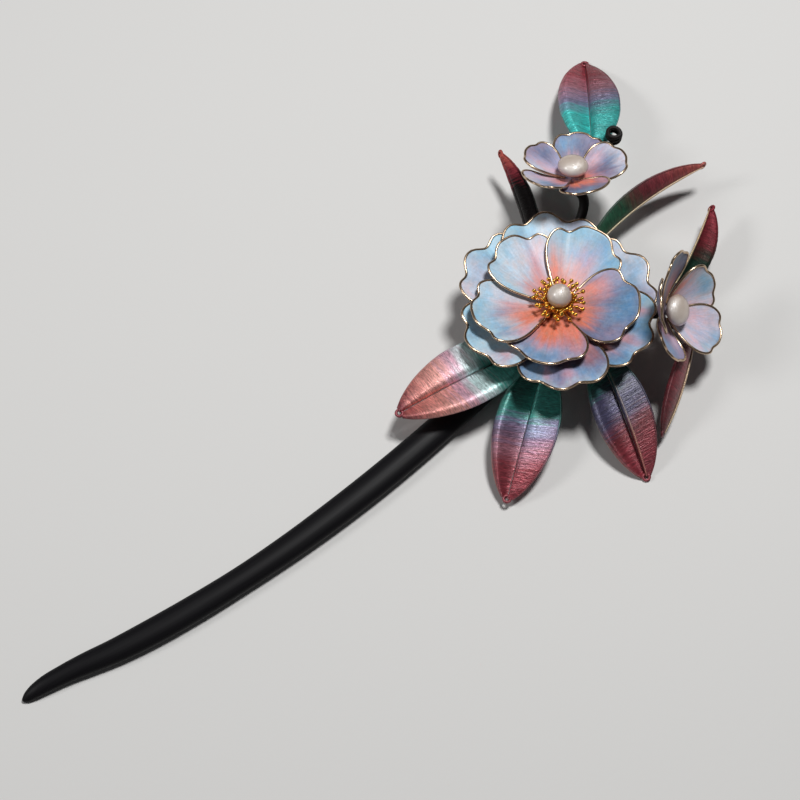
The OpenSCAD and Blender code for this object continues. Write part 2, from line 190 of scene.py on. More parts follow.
# Washes of colour, laid one over another on a petal's ground colour: colour, place along from the
# root at 0 to the rim at 1, place across from -1 to 1, reach along, reach across, strength
WASHES = {
    "outer_petal_1": ("white", (
        ("sky", 0.95, 0.3, 0.2, 0.5, 0.5), ("blue", 0.85, -0.15, 0.14, 0.3, 0.9),
        ("lilac", 0.75, 0.5, 0.2, 0.3, 0.5), ("mauve", 0.8, -0.6, 0.25, 0.25, 0.8),
        ("pink", 0.8, -0.9, 0.25, 0.14, 0.7))),
    "outer_petal_2": ("pale", (
        ("sky", 0.9, 0.55, 0.25, 0.4, 0.9), ("blue", 0.86, 0.45, 0.08, 0.2, 0.5),
        ("white", 0.9, 0.0, 0.2, 0.3, 0.5), ("lilac", 0.85, -0.35, 0.2, 0.25, 0.6))),
    "outer_petal_3": ("pale", (
        ("sky", 0.88, -0.5, 0.2, 0.4, 0.9), ("blue", 0.84, -0.2, 0.1, 0.15, 0.6),
        ("lilac", 0.82, 0.2, 0.2, 0.3, 0.6), ("white", 0.88, 0.75, 0.25, 0.35, 0.9),
        ("pink", 0.95, 0.8, 0.1, 0.3, 0.3))),
    "outer_petal_4": ("pale", (
        ("sky", 0.9, -0.3, 0.15, 0.5, 0.8), ("blue", 0.86, -0.1, 0.08, 0.12, 0.5),
        ("pink", 0.86, 0.6, 0.12, 0.16, 0.7), ("white", 0.97, 0.6, 0.06, 0.3, 0.7))),
    "outer_petal_5": ("dusk", (
        ("blue", 0.84, -0.55, 0.2, 0.3, 0.8), ("lilac", 0.94, 0.1, 0.14, 0.4, 0.7),
        ("blue", 0.86, 0.35, 0.12, 0.2, 0.7), ("coral", 0.6, 0.75, 0.2, 0.3, 0.6),
        ("pink", 0.85, 0.05, 0.14, 0.12, 0.7), ("pink", 0.8, -0.35, 0.2, 0.08, 0.6),
        ("pale", 0.98, 0, 0.05, 0.9, 0.5))),
    "outer_petal_6": ("sky", (
        ("blue", 0.84, 0.05, 0.2, 0.5, 0.9), ("deep", 0.8, 0.15, 0.14, 0.25, 0.8),
        ("deep", 0.84, -0.55, 0.26, 0.32, 1.0), ("pink", 0.74, -0.2, 0.18, 0.1, 0.8),
        ("pink", 0.82, 0.5, 0.1, 0.12, 0.8), ("white", 0.85, 0.9, 0.2, 0.2, 0.9),
        ("coral", 0.52, -0.6, 0.22, 0.5, 1.0))),
    "inner_petal_1": ("sky", (
        ("sky", 0.88, 0.3, 0.22, 0.5, 0.9), ("blue", 0.84, -0.45, 0.2, 0.35, 1.0),
        ("sky", 0.6, -0.6, 0.25, 0.3, 0.7), ("lilac", 0.64, -0.1, 0.2, 0.4, 1.0),
        ("pink", 0.46, 0.0, 0.18, 0.5, 0.6), ("coral", 0.44, 0.85, 0.38, 0.3, 1.0),
        ("coral", 0.24, 0.1, 0.26, 1.5, 1.0), ("orange", 0.1, 0.1, 0.18, 1.5, 0.9))),
    "inner_petal_2": ("pale", (
        ("white", 0.75, 0.1, 0.35, 0.8, 0.6), ("sky", 0.97, 0.1, 0.1, 0.8, 0.6),
        ("sky", 0.6, 0.9, 0.25, 0.16, 0.5), ("rosy", 0.7, -0.5, 0.3, 0.3, 0.8),
        ("pink", 0.5, -0.35, 0.26, 0.16, 0.9), ("pink", 0.36, 0.1, 0.16, 0.7, 0.7),
        ("coral", 0.16, 0.0, 0.22, 1.4, 1.0))),
    "inner_petal_3": ("pale", (
        ("white", 0.75, -0.5, 0.3, 0.4, 0.8), ("sky", 0.93, -0.1, 0.12, 0.5, 0.9),
        ("blue", 0.62, 0.05, 0.18, 0.14, 0.8), ("blue", 0.8, 0.5, 0.13, 0.25, 0.8),
        ("pink", 0.5, -0.2, 0.2, 0.2, 0.7), ("pink", 0.72, 0.85, 0.25, 0.2, 0.8),
        ("coral", 0.36, 0.45, 0.26, 0.7, 1.0), ("orange", 0.14, 0.3, 0.22, 1.4, 1.0))),
    "inner_petal_4": ("mauve", (
        ("lilac", 0.62, 0.0, 0.2, 0.5, 0.7), ("blue", 0.82, 0.0, 0.16, 0.65, 1.0),
        ("deep", 0.86, 0.1, 0.08, 0.4, 0.7), ("pale", 0.98, 0, 0.04, 0.9, 0.5),
        ("coral", 0.62, -0.88, 0.36, 0.42, 1.0), ("coral", 0.56, 0.84, 0.34, 0.4, 1.0),
        ("coral", 0.4, 0, 0.22, 1.3, 1.0), ("orange", 0.2, 0, 0.28, 1.5, 1.0))),
    "inner_petal_5": ("dusk", (
        ("lilac", 0.92, 0.75, 0.2, 0.3, 0.8), ("blue", 0.72, 0.1, 0.26, 0.5, 0.6),
        ("deep", 0.82, 0.05, 0.2, 0.45, 1.0), ("deep", 0.55, -0.1, 0.22, 0.12, 0.8),
        ("dusk", 0.62, 0.25, 0.16, 0.2, 0.8), ("mauve", 0.9, -0.7, 0.16, 0.3, 0.8),
        ("pink", 0.6, 0.62, 0.25, 0.22, 0.9), ("coral", 0.4, 0.8, 0.28, 0.36, 1.0),
        ("coral", 0.3, -0.5, 0.22, 0.6, 1.0), ("orange", 0.16, -0.1, 0.24, 1.5, 1.0))),
    # The top petals' dark mauve and dusk grounds and their white washes are partly their paint and partly
    # painted satin shade and painted highlights
    "top_petal_1": ("mauve", (
        ("blue", 0.82, 0.4, 0.2, 0.5, 0.8), ("dusk", 0.68, -0.15, 0.24, 0.4, 0.8),
        ("rosy", 0.42, 0.1, 0.16, 0.8, 0.7), ("pink", 0.75, -0.8, 0.3, 0.2, 0.6),
        ("coral", 0.16, 0, 0.2, 1, 0.6))),
    "top_petal_2": ("lilac", (
        ("dusk", 0.76, -0.35, 0.28, 0.5, 0.9), ("mauve", 0.95, -0.1, 0.1, 0.6, 0.6),
        ("rosy", 0.45, 0.45, 0.34, 0.42, 1.0), ("white", 0.76, 0.75, 0.25, 0.28, 0.9),
        ("pink", 0.12, 0, 0.16, 1, 0.6))),
    "top_petal_3": ("lilac", (
        ("blue", 0.66, 0.2, 0.2, 0.4, 0.9), ("dusk", 0.6, 0.5, 0.3, 0.35, 0.8),
        ("white", 0.93, -0.35, 0.2, 0.5, 0.9), ("rosy", 0.5, -0.6, 0.3, 0.3, 0.9),
        ("pink", 0.34, 0.3, 0.14, 0.6, 0.7), ("coral", 0.16, 0, 0.18, 1, 0.9))),
    "top_petal_4": ("dusk", (
        ("blue", 0.8, -0.15, 0.18, 0.4, 0.7), ("mauve", 0.9, -0.8, 0.25, 0.25, 0.8),
        ("pink", 0.8, 0.8, 0.25, 0.22, 0.8), ("coral", 0.42, 0.6, 0.22, 0.45, 1.0),
        ("coral", 0.26, -0.2, 0.14, 0.8, 0.8), ("orange", 0.12, 0, 0.16, 1, 1.0))),
    "top_petal_5": ("mauve", (
        ("rosy", 0.45, 0.6, 0.35, 0.4, 1.0), ("dusk", 0.62, -0.15, 0.24, 0.35, 0.9),
        ("blue", 0.78, 0.1, 0.12, 0.25, 0.5), ("white", 0.95, -0.1, 0.17, 0.9, 1.0),
        ("pink", 0.34, -0.6, 0.25, 0.4, 0.7), ("coral", 0.14, -0.4, 0.2, 0.8, 0.9))),
    # At the side petals' roots the maroon is partly the roots' own dark red and partly painted shadow under
    # the pearl
    "side_petal_1": ("white", (
        ("lilac", 0.6, 0.1, 0.24, 0.4, 0.6), ("sky", 0.88, 0.15, 0.16, 0.45, 0.9),
        ("blue", 0.86, 0.0, 0.1, 0.2, 0.6), ("rosy", 0.6, -0.75, 0.4, 0.35, 0.9),
        ("coral", 0.42, 0.85, 0.36, 0.5, 1.0), ("maroon", 0.08, 0, 0.22, 1.5, 1.0))),
    "side_petal_2": ("dusk", (
        ("blue", 0.82, 0.0, 0.2, 0.6, 0.4), ("pink", 0.55, -0.5, 0.25, 0.4, 0.5),
        ("coral", 0.36, -0.7, 0.2, 0.5, 0.6), ("maroon", 0.08, 0, 0.22, 1.5, 1.0))),
    "side_petal_3": ("dusk", (
        ("blue", 0.8, 0.0, 0.2, 0.6, 0.8), ("maroon", 0.35, 0, 0.22, 1, 0.9),
        ("maroon", 0.08, 0, 0.22, 1.5, 1.0))),
    "side_petal_4": ("mauve", (
        ("blue", 0.72, 0.0, 0.2, 0.35, 0.8), ("rosy", 0.6, 0.75, 0.3, 0.25, 0.7),
        ("pink", 0.6, -0.75, 0.3, 0.2, 0.6), ("dusk", 0.42, 0, 0.16, 0.5, 0.6),
        ("coral", 0.26, 0, 0.16, 1, 0.6), ("maroon", 0.08, 0, 0.22, 1.5, 1.0))),
    "side_petal_5": ("white", (
        ("rosy", 0.5, 0.4, 0.4, 0.5, 0.9), ("rosy", 0.75, -0.6, 0.3, 0.25, 0.8),
        ("blue", 0.88, 0.0, 0.14, 0.35, 0.8), ("sky", 0.95, -0.5, 0.1, 0.3, 0.7),
        ("lilac", 0.6, -0.2, 0.2, 0.2, 0.4), ("maroon", 0.08, 0, 0.22, 1.5, 1.0))),
}

# Pearls: seat over the petals' roots, width, height as a share of the width
PEARLS = {
    "main_pearl": (MAIN_FLOWER, 4.9, 6.4, 1.0),
    "top_pearl": (TOP_FLOWER, 1.5, 8.2, 0.6),
    "side_pearl": (SIDE_FLOWER, 1.5, 8.2, 0.6),
}

# Roundness of a pearl's mesh; and its unevenness: waves over a radius, step from pearl to pearl, and the
# share of it by which the whole pearl is set inward
PEARL_DIVISIONS = 5
PEARL_WAVES = 1.6
PEARL_STEP = 7
PEARL_INWARD = 0.5

# Stamens: rings of number, distance of the ends, height of the ends, turn of the first; how far one strays
# in degrees, outward and upward; smallest and largest ball end as a share; distance of the filaments'
# feet, how far their knees are set inward and upward, and roughness of the gilt
STAMEN_RINGS = ((12, 4.5, 7.8, 0), (14, 5.4, 7.4, 10), (16, 6.3, 6.8, 4))
STAMEN_SWAY = 7
STAMEN_OUT = 0.45
STAMEN_UP = 0.4
BALL_SIZES = (0.85, 1.1)
FILAMENT_ROOT = 2.2
KNEE_IN = 0.3
KNEE_UP = 0.5
STAMEN_ROUGHNESS = 0.2

# Beaded collar: number of beads, distance, height and bead radius
COLLAR = (26, 3.72, 6.9, 0.44)

# Cup under the stamens: radius, height of its foot and top, bulge between them, radius left open on top
CUP = (3.0, 4.2, 4.75, 0.15, 0.1)

# Points round the cup, points along and round a filament, and seed of the stamens' straying
CUP_SIDES = 40
FILAMENT_POINTS = 8
FILAMENT_SIDES = 7
STAMEN_SEED = 5

# Leaves: widest blade, thickness, and depth of the underside as a share of the thickness
LEAF_W = 17.5
LEAF_T = 1.9
UNDERSIDE = 0.34

# Section of a half leaf: points round it, how far its crown passes the plain thickness, height of its
# edge as a share of the thickness, and power that makes it fuller than a plain arch
LEAF_AROUND = 30
CROWN = 1.1
EDGE = 0.1
FULL_POWER = 0.6

# Leaf sections: share of the length, share of the width, share of the thickness
BLADE_ROWS = (
    (0.00, 0.13, 0.50), (0.05, 0.31, 0.70), (0.13, 0.54, 0.85), (0.24, 0.79, 0.95),
    (0.36, 0.95, 1.00), (0.48, 1.00, 1.00), (0.60, 0.98, 1.00), (0.72, 0.86, 0.95),
    (0.82, 0.70, 0.85), (0.90, 0.52, 0.70), (0.96, 0.34, 0.55), (1.00, 0.18, 0.45))

# Leaves: stalk's start, blade's base, blade's tip, roll, fold of each half, upward arch, width as a
# share, side to which the crowns of both halves lean, dye of the thread from base to tip, and how light
# the left and the right half are drawn: the thread's own lightness, with painted light on the half that
# is drawn lighter than its partner and painted shade on the one drawn darker
Leaf = namedtuple("Leaf", "stalk base tip roll fold arch wide lean dyes tones")
LEAVES = {
    # leaf_1's pale mist, peach and salmon are partly painted highlight, lightened for the broad light on its
    # halves
    "leaf_1": Leaf(
        (-10, -5.0, 9.8), (-14, -6.5, 10.6), (-53.4, 0.8, 8.6), 0, 8, 2.0, 1.00, 1.1,
        ((0, "teal"), (0.34, "teal"), (0.46, "mist"), (0.57, "blush"), (0.68, "peach"),
         (0.86, "salmon"), (1, "crimson")), (1.05, 0.95)),
    "leaf_2": Leaf(
        (-10.5, -7.9, 7.8), (-14, -10, 7.8), (-44.6, -32.4, 2.4), 0, 8, 1.6, 0.96, -1.7,
        ((0, "teal"), (0.42, "teal"), (0.5, "slate"), (0.58, "mauve"), (0.68, "rose"),
         (0.8, "crimson"), (1, "crimson")), (1.1, 0.95)),
    "leaf_3": Leaf(
        (-5, -9.0, 8.8), (-2.2, -16.2, 9.4), (-12.0, -49.19, 0.28), 8, 8, 2.4, 0.86, -2.2,
        ((0, "teal"), (0.2, "teal"), (0.36, "dusk"), (0.5, "dusk"), (0.66, "wine"), (0.82, "crimson"),
         (1, "crimson")), (0.95, 1.1)),
    "leaf_4": Leaf(
        (15.6, -22.6, 12.6), (19.5, -29.5, 11.0), (-1.9, -43.9, 4.6), 103, 20, -1.0, 0.66, 0.3,
        ((0, "wine"), (0.5, "crimson"), (1, "wine")), (0.8, 0.8)),
    "leaf_5": Leaf(
        (17.6, -20.4, 12.4), (24.2, -15.8, 8.2), (49.0, -3.6, 9.4), 125, 45, 1.0, 0.58, 0.3,
        ((0, "moss"), (0.46, "moss"), (0.66, "wine"), (1, "crimson")), (0.7, 0.7)),
    "leaf_6": Leaf(
        (3, -0.6, 9.4), (14.0, 6.2, 8.6), (55.4, 6.6, 10.8), -97, 35, 2.4, 0.57, 0.3,
        ((0, "green"), (0.36, "green"), (0.55, "wine"), (0.7, "crimson"), (1, "brick")), (1, 1)),
    # leaf_7's near-black plum is partly painted shade
    "leaf_7": Leaf(
        (-4, 3.5, 9.4), (1.0, 12.0, 8.6), (14.0, 43.6, 10.6), 104, 25, 1.0, 0.54, 0.3,
        ((0, "plum"), (0.68, "plum"), (0.8, "crimson"), (0.94, "brick"), (1, "brick")), (1, 1)),
    "leaf_8": Leaf(
        (22.6, 20.2, 12.6), (32.6, 27.0, 13.4), (56.36, 55.85, 0.275), 0, 8, 1.5, 1.0, 1.2,
        ((0, "aqua"), (0.36, "aqua"), (0.5, "slate"), (0.66, "rose"), (0.82, "crimson"),
         (1, "crimson")), (1.35, 0.85)),
}

# Cords of each leaf's wire frame: side, share of the half's width, lift as a share of the thickness,
# tone, and how far the cord is mixed towards the pale gilt colour; leaves not named have the plain pair.
# A tone above 1 and the gilt mix are painted highlights, bright lines where a cord would catch the light:
# on a half's outer edge of leaf_2 and leaf_3, the crest of leaf_3 and the keel of leaf_4, leaf_5 and
# leaf_6. The plain pair's tone of 0.6 draws the outer edges darker than the blade
PLAIN_CORDS = ((1, 0.96, 0.15, 0.6, 0), (-1, 0.96, 0.15, 0.6, 0))
LEAF_CORDS = {
    "leaf_2": ((1, 0.96, 0.15, 0.6, 0), (-1, 0.96, 0.2, 1.6, 0.15)),
    "leaf_3": ((1, 0.96, 0.15, 0.6, 0), (-1, 0.96, 0.2, 1.5, 0.2), (1, 0.09, 1.02, 1.5, 0.25)),
    "leaf_4": PLAIN_CORDS + ((1, 0, -0.15, 1, 0.7),),
    "leaf_5": PLAIN_CORDS + ((1, 0, -0.15, 1, 0.7),),
    "leaf_6": PLAIN_CORDS + ((1, 0, -0.15, 1, 0.7),),
}

# Shape of a cord: radius, points along it before it is evened out, step from ring to ring, points round
# it, share of the radius left at its ends, how steeply it thickens from them, and place in the grain
CORD_R = 0.28
CORD_POINTS = 120
CORD_STEP = 0.25
CORD_SIDES = 8
CORD_END = 0.45
CORD_TAPER = 3
CORD_GRAIN = 3.0

# Threads of a leaf: rings of points to each, slant across a half, waves as height, radians across,
# radians along and share of the half's seed, and how much the threads' heights differ as a share of
# their relief
LEAF_RINGS = 5
THREAD_SLANT = 0.18
THREAD_WAVES = ((0.1, 4, 37, 1), (0.05, 9, 83, 0))
THREAD_UNEVEN = 0.9

# Dye of the threads: how far its place waves across a half and strays from thread to thread, as shares of
# the length, and the darkest thread's tone and how much lighter the lightest is
DYE_WAVE = 0.03
DYE_STRAY = 0.07
DARKEST = 0.82
LIGHTER = 0.36

# Loop at a leaf's tip: radius, wire's radius, points round it and round its wire, lowest height of its
# wire's middle, and how far its middle is set forward and upward from the tip
LOOP_R = 0.85
LOOP_WIRE_R = 0.4
LOOP_POINTS = 40
LOOP_SIDES = 12
LOOP_LOWEST = 0.42
LOOP_FORWARD = 0.1
LOOP_UP = 0.45

# Silk floss: name and gloss of the plain kind and of a dulled copy, and the leaves wound with the
# latter; the dulled copy is painted shade, leaf_5 and leaf_7 drawn without the plain floss's glare as
# leaves that lie in shade
PLAIN_FLOSS = ("wound_silk_floss", 1)
DULLED_FLOSS = ("wound_unglazed_silk_floss", 0.1)
SHADED_LEAVES = ("leaf_5", "leaf_7")

# Stalks: radius, and how far one goes on under its blade, forward and upward
STALK_R = 0.75
STALK_FORWARD = 3
STALK_UP = 0.3

# Stems: routes of the small flowers' stems and their radius, and the main stem's radius, foot and top
TOP_STEM = ((5.0, 1.2, 5.4), (8.4, 6.2, 6.2), (13.6, 12.4, 8), (19.8, 15.4, 10.8),
            (22.2, 17.6, 13.6), (21.6, 20.6, 15.9), (21.4, 21.4, 16.9))
SIDE_STEM = ((5.6, -2.6, 5.2), (7.4, -6.6, 6.4), (10, -12, 9),
             (12.6, -17, 12.6), (14.1, -19.8, 15.2), (14.6, -20.5, 16.1))
SMALL_STEM_R = 1.35
MAIN_STEM = (1.3, -4.6, 3.7)

# Coil: place of its middle, radius of its turns and of its wound wire, number of turns, rise in each,
# compass of its first point, points to a turn, and the lead that brings it from the cluster
COIL_AT = (40.2, 27.2, 14.2)
COIL_R = 1.75
COIL_WIRE_R = 0.6
COIL_TURNS = 2.2
COIL_RISE = 1.5
COIL_FIRST = -150
COIL_POINTS = 48
COIL_LEAD = ((24.6, 19.4, 15.2), (30, 22.2, 15.4), (35.6, 24.2, 15.0))

# Rings of points to each thread of a wound stem
RINGS_PER_THREAD = 4

# Numbers that scatter the values of neighbouring threads
SCATTER = (12.9898, 78.233, 43758.5453)

# Floor: half its length, points along it, and how far it lies below the object
FLOOR_HALF = 1500
FLOOR_POINTS = 9
FLOOR_DROP = 0.02

# Camera: point that it looks at; its compass, elevation and distance from there; lens, width of the
# sensor, and nearest distance that it sees
CAMERA_TARGET = (5.15, 0.30, 8)
CAMERA_PLACE = (-127.74, 68, 400)
CAMERA_LENS = 70
CAMERA_SENSOR = 36
CAMERA_NEAREST = 10

# Lamps: compass, elevation and distance from the camera's target, and width of the lamp
KEY_LAMP = ((15, 70, 800), 160)
FILL_LAMP = ((145, 42, 800), 220)


def linear(colour):
    """Linear red, green, blue and full alpha of a colour given as sRGB hex."""
    parts = [int(colour[i:i + 2], 16) / 255 for i in (1, 3, 5)]
    return tuple(c / 12.92 if c <= 0.04045 else ((c + 0.055) / 1.055) ** 2.4 for c in parts) + (1.0,)


def length_setting(name, description, size, low, high):
    """A length that the user may change, given in millimetres."""
    return bpy.props.FloatProperty(
        name=name, description=description, default=size * MM, min=low * MM, max=high * MM,
        subtype="DISTANCE", unit="LENGTH", precision=5)


def colour_setting(name, description, colour):
    """A colour that the user may change."""
    return bpy.props.FloatVectorProperty(
        name=name, description=description, default=linear(colour), size=4, min=0, max=1, subtype="COLOR")


class StickSettings(bpy.types.PropertyGroup):
    wood: colour_setting("Wood", "Colour of the black stained wood", "#131215")
    pores: colour_setting("Pores", "Colour of the wood's fine pores", "#0C0B0D")
    # The pores are about 0.05 mm wide, too fine to show: the grain is drawn in streaks of 0.7 mm
    grain: length_setting("Grain Width", "Width of a streak of grain", 0.7, 0.3, 2)


class PetalSettings(bpy.types.PropertyGroup):
    film: length_setting("Film", "Thickness of the painted film", 0.3, 0.2, 0.5)
    wire: length_setting("Rim Wire", "Diameter of the gilt rim wire", 0.68, 0.5, 1)
    rim: colour_setting("Rim", "Colour of the pale gilt rim wire", "#C4AB90")
    white: colour_setting("White", "Palest wash", "#CDCCDA")
    pale: colour_setting("Pale Blue", "Pale blue wash", "#AFCDDB")
    sky: colour_setting("Sky", "Sky blue wash", "#8CBCD2")
    blue: colour_setting("Blue", "Blue wash", "#679ABF")
    deep: colour_setting("Deep Blue", "Deepest blue wash", "#447CA6")
    lilac: colour_setting("Lilac", "Lilac wash", "#A6A2C2")
    mauve: colour_setting("Mauve", "Mauve wash", "#837B9B")
    dusk: colour_setting("Dusk", "Dark slate blue wash", "#565A7C")
    rosy: colour_setting("Pale Pink", "Palest pink wash", "#D9B4C2")
    pink: colour_setting("Pink", "Pink wash", "#CB8791")
    coral: colour_setting("Coral", "Coral wash", "#DA7053")
    orange: colour_setting("Orange", "Orange wash at the roots", "#DA6832")
    # At the side flower's roots the maroon is also painted shadow under the pearl
    maroon: colour_setting("Maroon", "Backs of the petals and deepest roots", "#4C161B")


class LeafSettings(bpy.types.PropertyGroup):
    # Silk floss is wound about 0.2 mm apart, too fine to show: its threads are drawn coarser
    pitch: length_setting("Thread Pitch", "Distance from thread to thread", 0.5, 0.3, 0.8)
    relief: length_setting("Thread Relief", "Depth between two threads", 0.08, 0.02, 0.2)
    teal: colour_setting("Teal", "Dye at the base", "#36897F")
    aqua: colour_setting("Aqua", "Bluer dye at the base", "#34A9A4")
    # Partly painted highlight: lightened for leaf_1's base, the only leaf that uses it
    mist: colour_setting("Mist", "Palest dye", "#C4DCDC")
    green: colour_setting("Green", "Dye of a narrow leaf's base", "#1A4E36")
    moss: colour_setting("Moss", "Darkest green dye", "#12281E")
    slate: colour_setting("Slate", "Slate violet dye", "#6C6F8C")
    dusk: colour_setting("Dusk", "Dark violet dye", "#403D58")
    mauve: colour_setting("Mauve", "Greyed violet dye", "#735A74")
    blush: colour_setting("Blush", "Pale pink dye", "#CFA2B4")
    # Peach and salmon: partly painted highlight, lightened for the broad light on leaf_1, the only leaf that
    # uses them
    peach: colour_setting("Peach", "Peach pink dye", "#D6968C")
    salmon: colour_setting("Salmon", "Salmon pink dye", "#C47A72")
    rose: colour_setting("Rose", "Greyed rose dye", "#94606E")
    crimson: colour_setting("Crimson", "Dye near the tip", "#86323C")
    wine: colour_setting("Wine", "Darkest red dye", "#642229")
    brick: colour_setting("Brick", "Dye at the tip", "#A8524A")
    # Near black: partly the thread's dark dye, partly painted shade for the body of leaf_7, which lies in
    # shade
    plum: colour_setting("Plum", "Nearly black dye", "#0F090A")
    # Pale colour that paints the highlight along some cords
    gilt: colour_setting("Gilt", "Colour of a cord's wire where it shows", "#CEBC99")


class PearlSettings(bpy.types.PropertyGroup):
    nacre: colour_setting("Nacre", "Body colour of the pearls", "#E2D4C6")
    uneven: length_setting("Unevenness", "How far a pearl strays from round", 0.07, 0, 0.3)


class StamenSettings(bpy.types.PropertyGroup):
    gilt: colour_setting("Gilt", "Colour of the gilt wire", "#EDB852")
    ball: length_setting("Ball", "Diameter of a stamen's ball end", 1.15, 0.6, 1.2)
    filament: length_setting("Filament", "Diameter of a stamen's wire", 0.42, 0.2, 0.5)


class WindingSettings(bpy.types.PropertyGroup):
    thread: colour_setting("Thread", "Colour of the stems' waxed thread", "#151010")
    # The thread is wound about 0.2 mm apart, too fine to show: it is drawn coarser
    pitch: length_setting("Thread Pitch", "Distance from thread to thread", 0.45, 0.3, 0.8)
    relief: length_setting("Thread Relief", "Depth between two threads", 0.08, 0.02, 0.15)


class StageSettings(bpy.types.PropertyGroup):
    floor: colour_setting("Floor", "Colour of the pale floor", "#D9D8D6")
    key: bpy.props.FloatProperty(
        name="Key Light", description="Power of the key light", default=5.2, min=0, max=100, unit="POWER")
    fill: bpy.props.FloatProperty(
        name="Fill Light", description="Power of the fill light", default=1.5, min=0, max=100, unit="POWER")
    sky: bpy.props.FloatProperty(
        name="Room Light", description="Strength of the even light all round", default=0.06, min=0, max=2)


def named_colour(settings, name):
    """Linear red, green and blue of one colour among a group's settings."""
    return np.array(getattr(settings, name)[:3])


def unit(v):
    """A vector, or each one of an array, brought to length 1."""
    return v / np.linalg.norm(v, axis=-1, keepdims=True)


def smooth_table(rows, at):
    """A table's values at places between its rows, on a smooth curve through them all."""
    rows = np.array(rows, float)
    x, y = rows[:, 0], rows[:, 1:]
    slope = np.gradient(y, x, axis=0)
    i = np.clip(np.searchsorted(x, at, side="right") - 1, 0, len(x) - 2)
    step = (x[i + 1] - x[i])[:, None]
    t = (at - x[i])[:, None] / step
    return (y[i] * (2 * t ** 3 - 3 * t ** 2 + 1) + slope[i] * step * (t ** 3 - 2 * t ** 2 + t)
            + y[i + 1] * (3 * t ** 2 - 2 * t ** 3) + slope[i + 1] * step * (t ** 3 - t ** 2))


def rounded_route(points, steps=16):
    """A route whose corners are rounded by short curves."""
    p = np.array(points, float)
    t = np.linspace(0, 1, steps)[:, None]
    parts = [p[:1]]
    for before, at, after in zip(p[:-2], p[1:-1], p[2:]):
        a, b = (before + at) / 2, (at + after) / 2
        parts.append((1 - t) ** 2 * a + 2 * t * (1 - t) * at + t ** 2 * b)
    return np.concatenate(parts + [p[-1:]])


def even_route(points, step):
    """The same route with its points a step apart."""
    run = np.concatenate([[0], np.cumsum(np.linalg.norm(np.diff(points, axis=0), axis=1))])
    at = np.linspace(0, run[-1], max(2, int(run[-1] / step) + 1))
    return np.stack([np.interp(at, run, points[:, k]) for k in range(3)], 1), at


def rings_along(path, radii, sides):
    """Rings round a path, turned as little as possible from point to point. radii holds one number for
    each point of the path, or one for each point of each ring."""
    ways = unit(np.gradient(path, axis=0))
    side = np.cross((0, 0, 1), ways[0])
    # A path that starts nearly straight up has no level side of its own
    if np.linalg.norm(side) < 0.1:
        side = np.array((1.0, 0, 0))
    angle = np.linspace(0, 2 * math.pi, sides, endpoint=False)[:, None]
    rings = []
    for point, way, radius in zip(path, ways, radii):
        side = unit(side - way * (side @ way))
        up = np.cross(way, side)
        rings.append(point + np.reshape(radius, (-1, 1)) * (np.cos(angle) * side + np.sin(angle) * up))
    return np.array(rings)


def thread_relief(run, pitch):
    """Height of round threads laid side by side, from 0 on top of one to -1 between two."""
    place = np.mod(run / pitch, 1) * 2 - 1
    return np.sqrt(np.maximum(0, 1 - place ** 2)) - 1


def thread_chance(run, pitch, seed):
    """A number from 0 to 1 that is the same all along one thread and differs from thread to thread."""
    by_thread, by_seed, spread = SCATTER
    return np.mod(np.sin(np.floor(run / pitch) * by_thread + seed * by_seed) * spread, 1)


def flower_points(flower, points):
    """Points on a flower that faces up, set at the flower's own place and lean."""
    at, compass, lean = flower
    turn = Matrix.Rotation(math.radians(compass), 3, "Z")
    tilt = Matrix.Rotation(math.radians(lean), 3, "Y")
    return points @ np.array(turn @ tilt @ turn.inverted()).T + HEAD + at


class Form:
    """The points, faces and point values of one piece while it is made."""

    def __init__(self):
        self.points, self.faces, self.paint, self.grain = [], [], [], []
        self.count = 0

    def grid(self, points, wrap=False, caps=False, flip=False, paint=(1, 1, 1, 1), grain=(0, 0, 0)):
        """Rows of points joined by quads; wrap closes each row, caps fills the first and last row."""
        rows, columns = points.shape[:2]
        i, j = np.meshgrid(np.arange(rows - 1), np.arange(columns if wrap else columns - 1), indexing="ij")
        a, b = i * columns + j, i * columns + (j + 1) % columns
        quads = np.stack([a, b, b + columns, a + columns], -1).reshape(-1, 4) + self.count
        faces = (quads[:, ::-1] if flip else quads).tolist()
        if caps:
            first = list(range(columns))
            last = [(rows - 1) * columns + k for k in first]
            faces += [[self.count + k for k in reversed(first)], [self.count + k for k in last]]
        self.faces += faces
        self.points.append(points.reshape(-1, 3))
        self.paint.append(np.broadcast_to(np.array(paint, float), (rows, columns, 4)).reshape(-1, 4))
        self.grain.append(np.broadcast_to(np.array(grain, float), (rows, columns, 3)).reshape(-1, 3))
        self.count += rows * columns

    def piece(self, name, materials):
        """The finished piece, smooth, with its paint and grain as point attributes."""
        mesh = bpy.data.meshes.new(name)
        mesh.from_pydata((np.concatenate(self.points) * MM).tolist(), [], self.faces)
        for label, kind, field, values in (
                ("paint", "FLOAT_COLOR", "color", self.paint),
                ("grain", "FLOAT_VECTOR", "vector", self.grain)):
            layer = mesh.attributes.new(label, kind, "POINT")
            layer.data.foreach_set(field, np.concatenate(values).astype(np.float32).ravel())
        for material in materials:
            mesh.materials.append(material)
        mesh.polygons.foreach_set("use_smooth", [True] * len(mesh.polygons))
        mesh.update()
        return linked(name, mesh)


def linked(name, data):
    """An object in the scene for a mesh, a camera or a lamp."""
    item = bpy.data.objects.new(name, data)
    bpy.context.scene.collection.objects.link(item)
    return item


def dressed(piece, node):
    """Sets a finished piece on the model's body and hides the CAD node that it replaces."""
    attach(piece, BODY)
    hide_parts(node)


# Inputs and output of a Mix node that mixes colours
MIX_A, MIX_B, MIX_OUT = 6, 7, 2

# Values between which most of a noise lies, as a Map Range node takes them
NOISE_SPAN = {"From Min": 0.25, "From Max": 0.75}

# Materials made so far, under the function and the name that they were made with
made_materials = {}


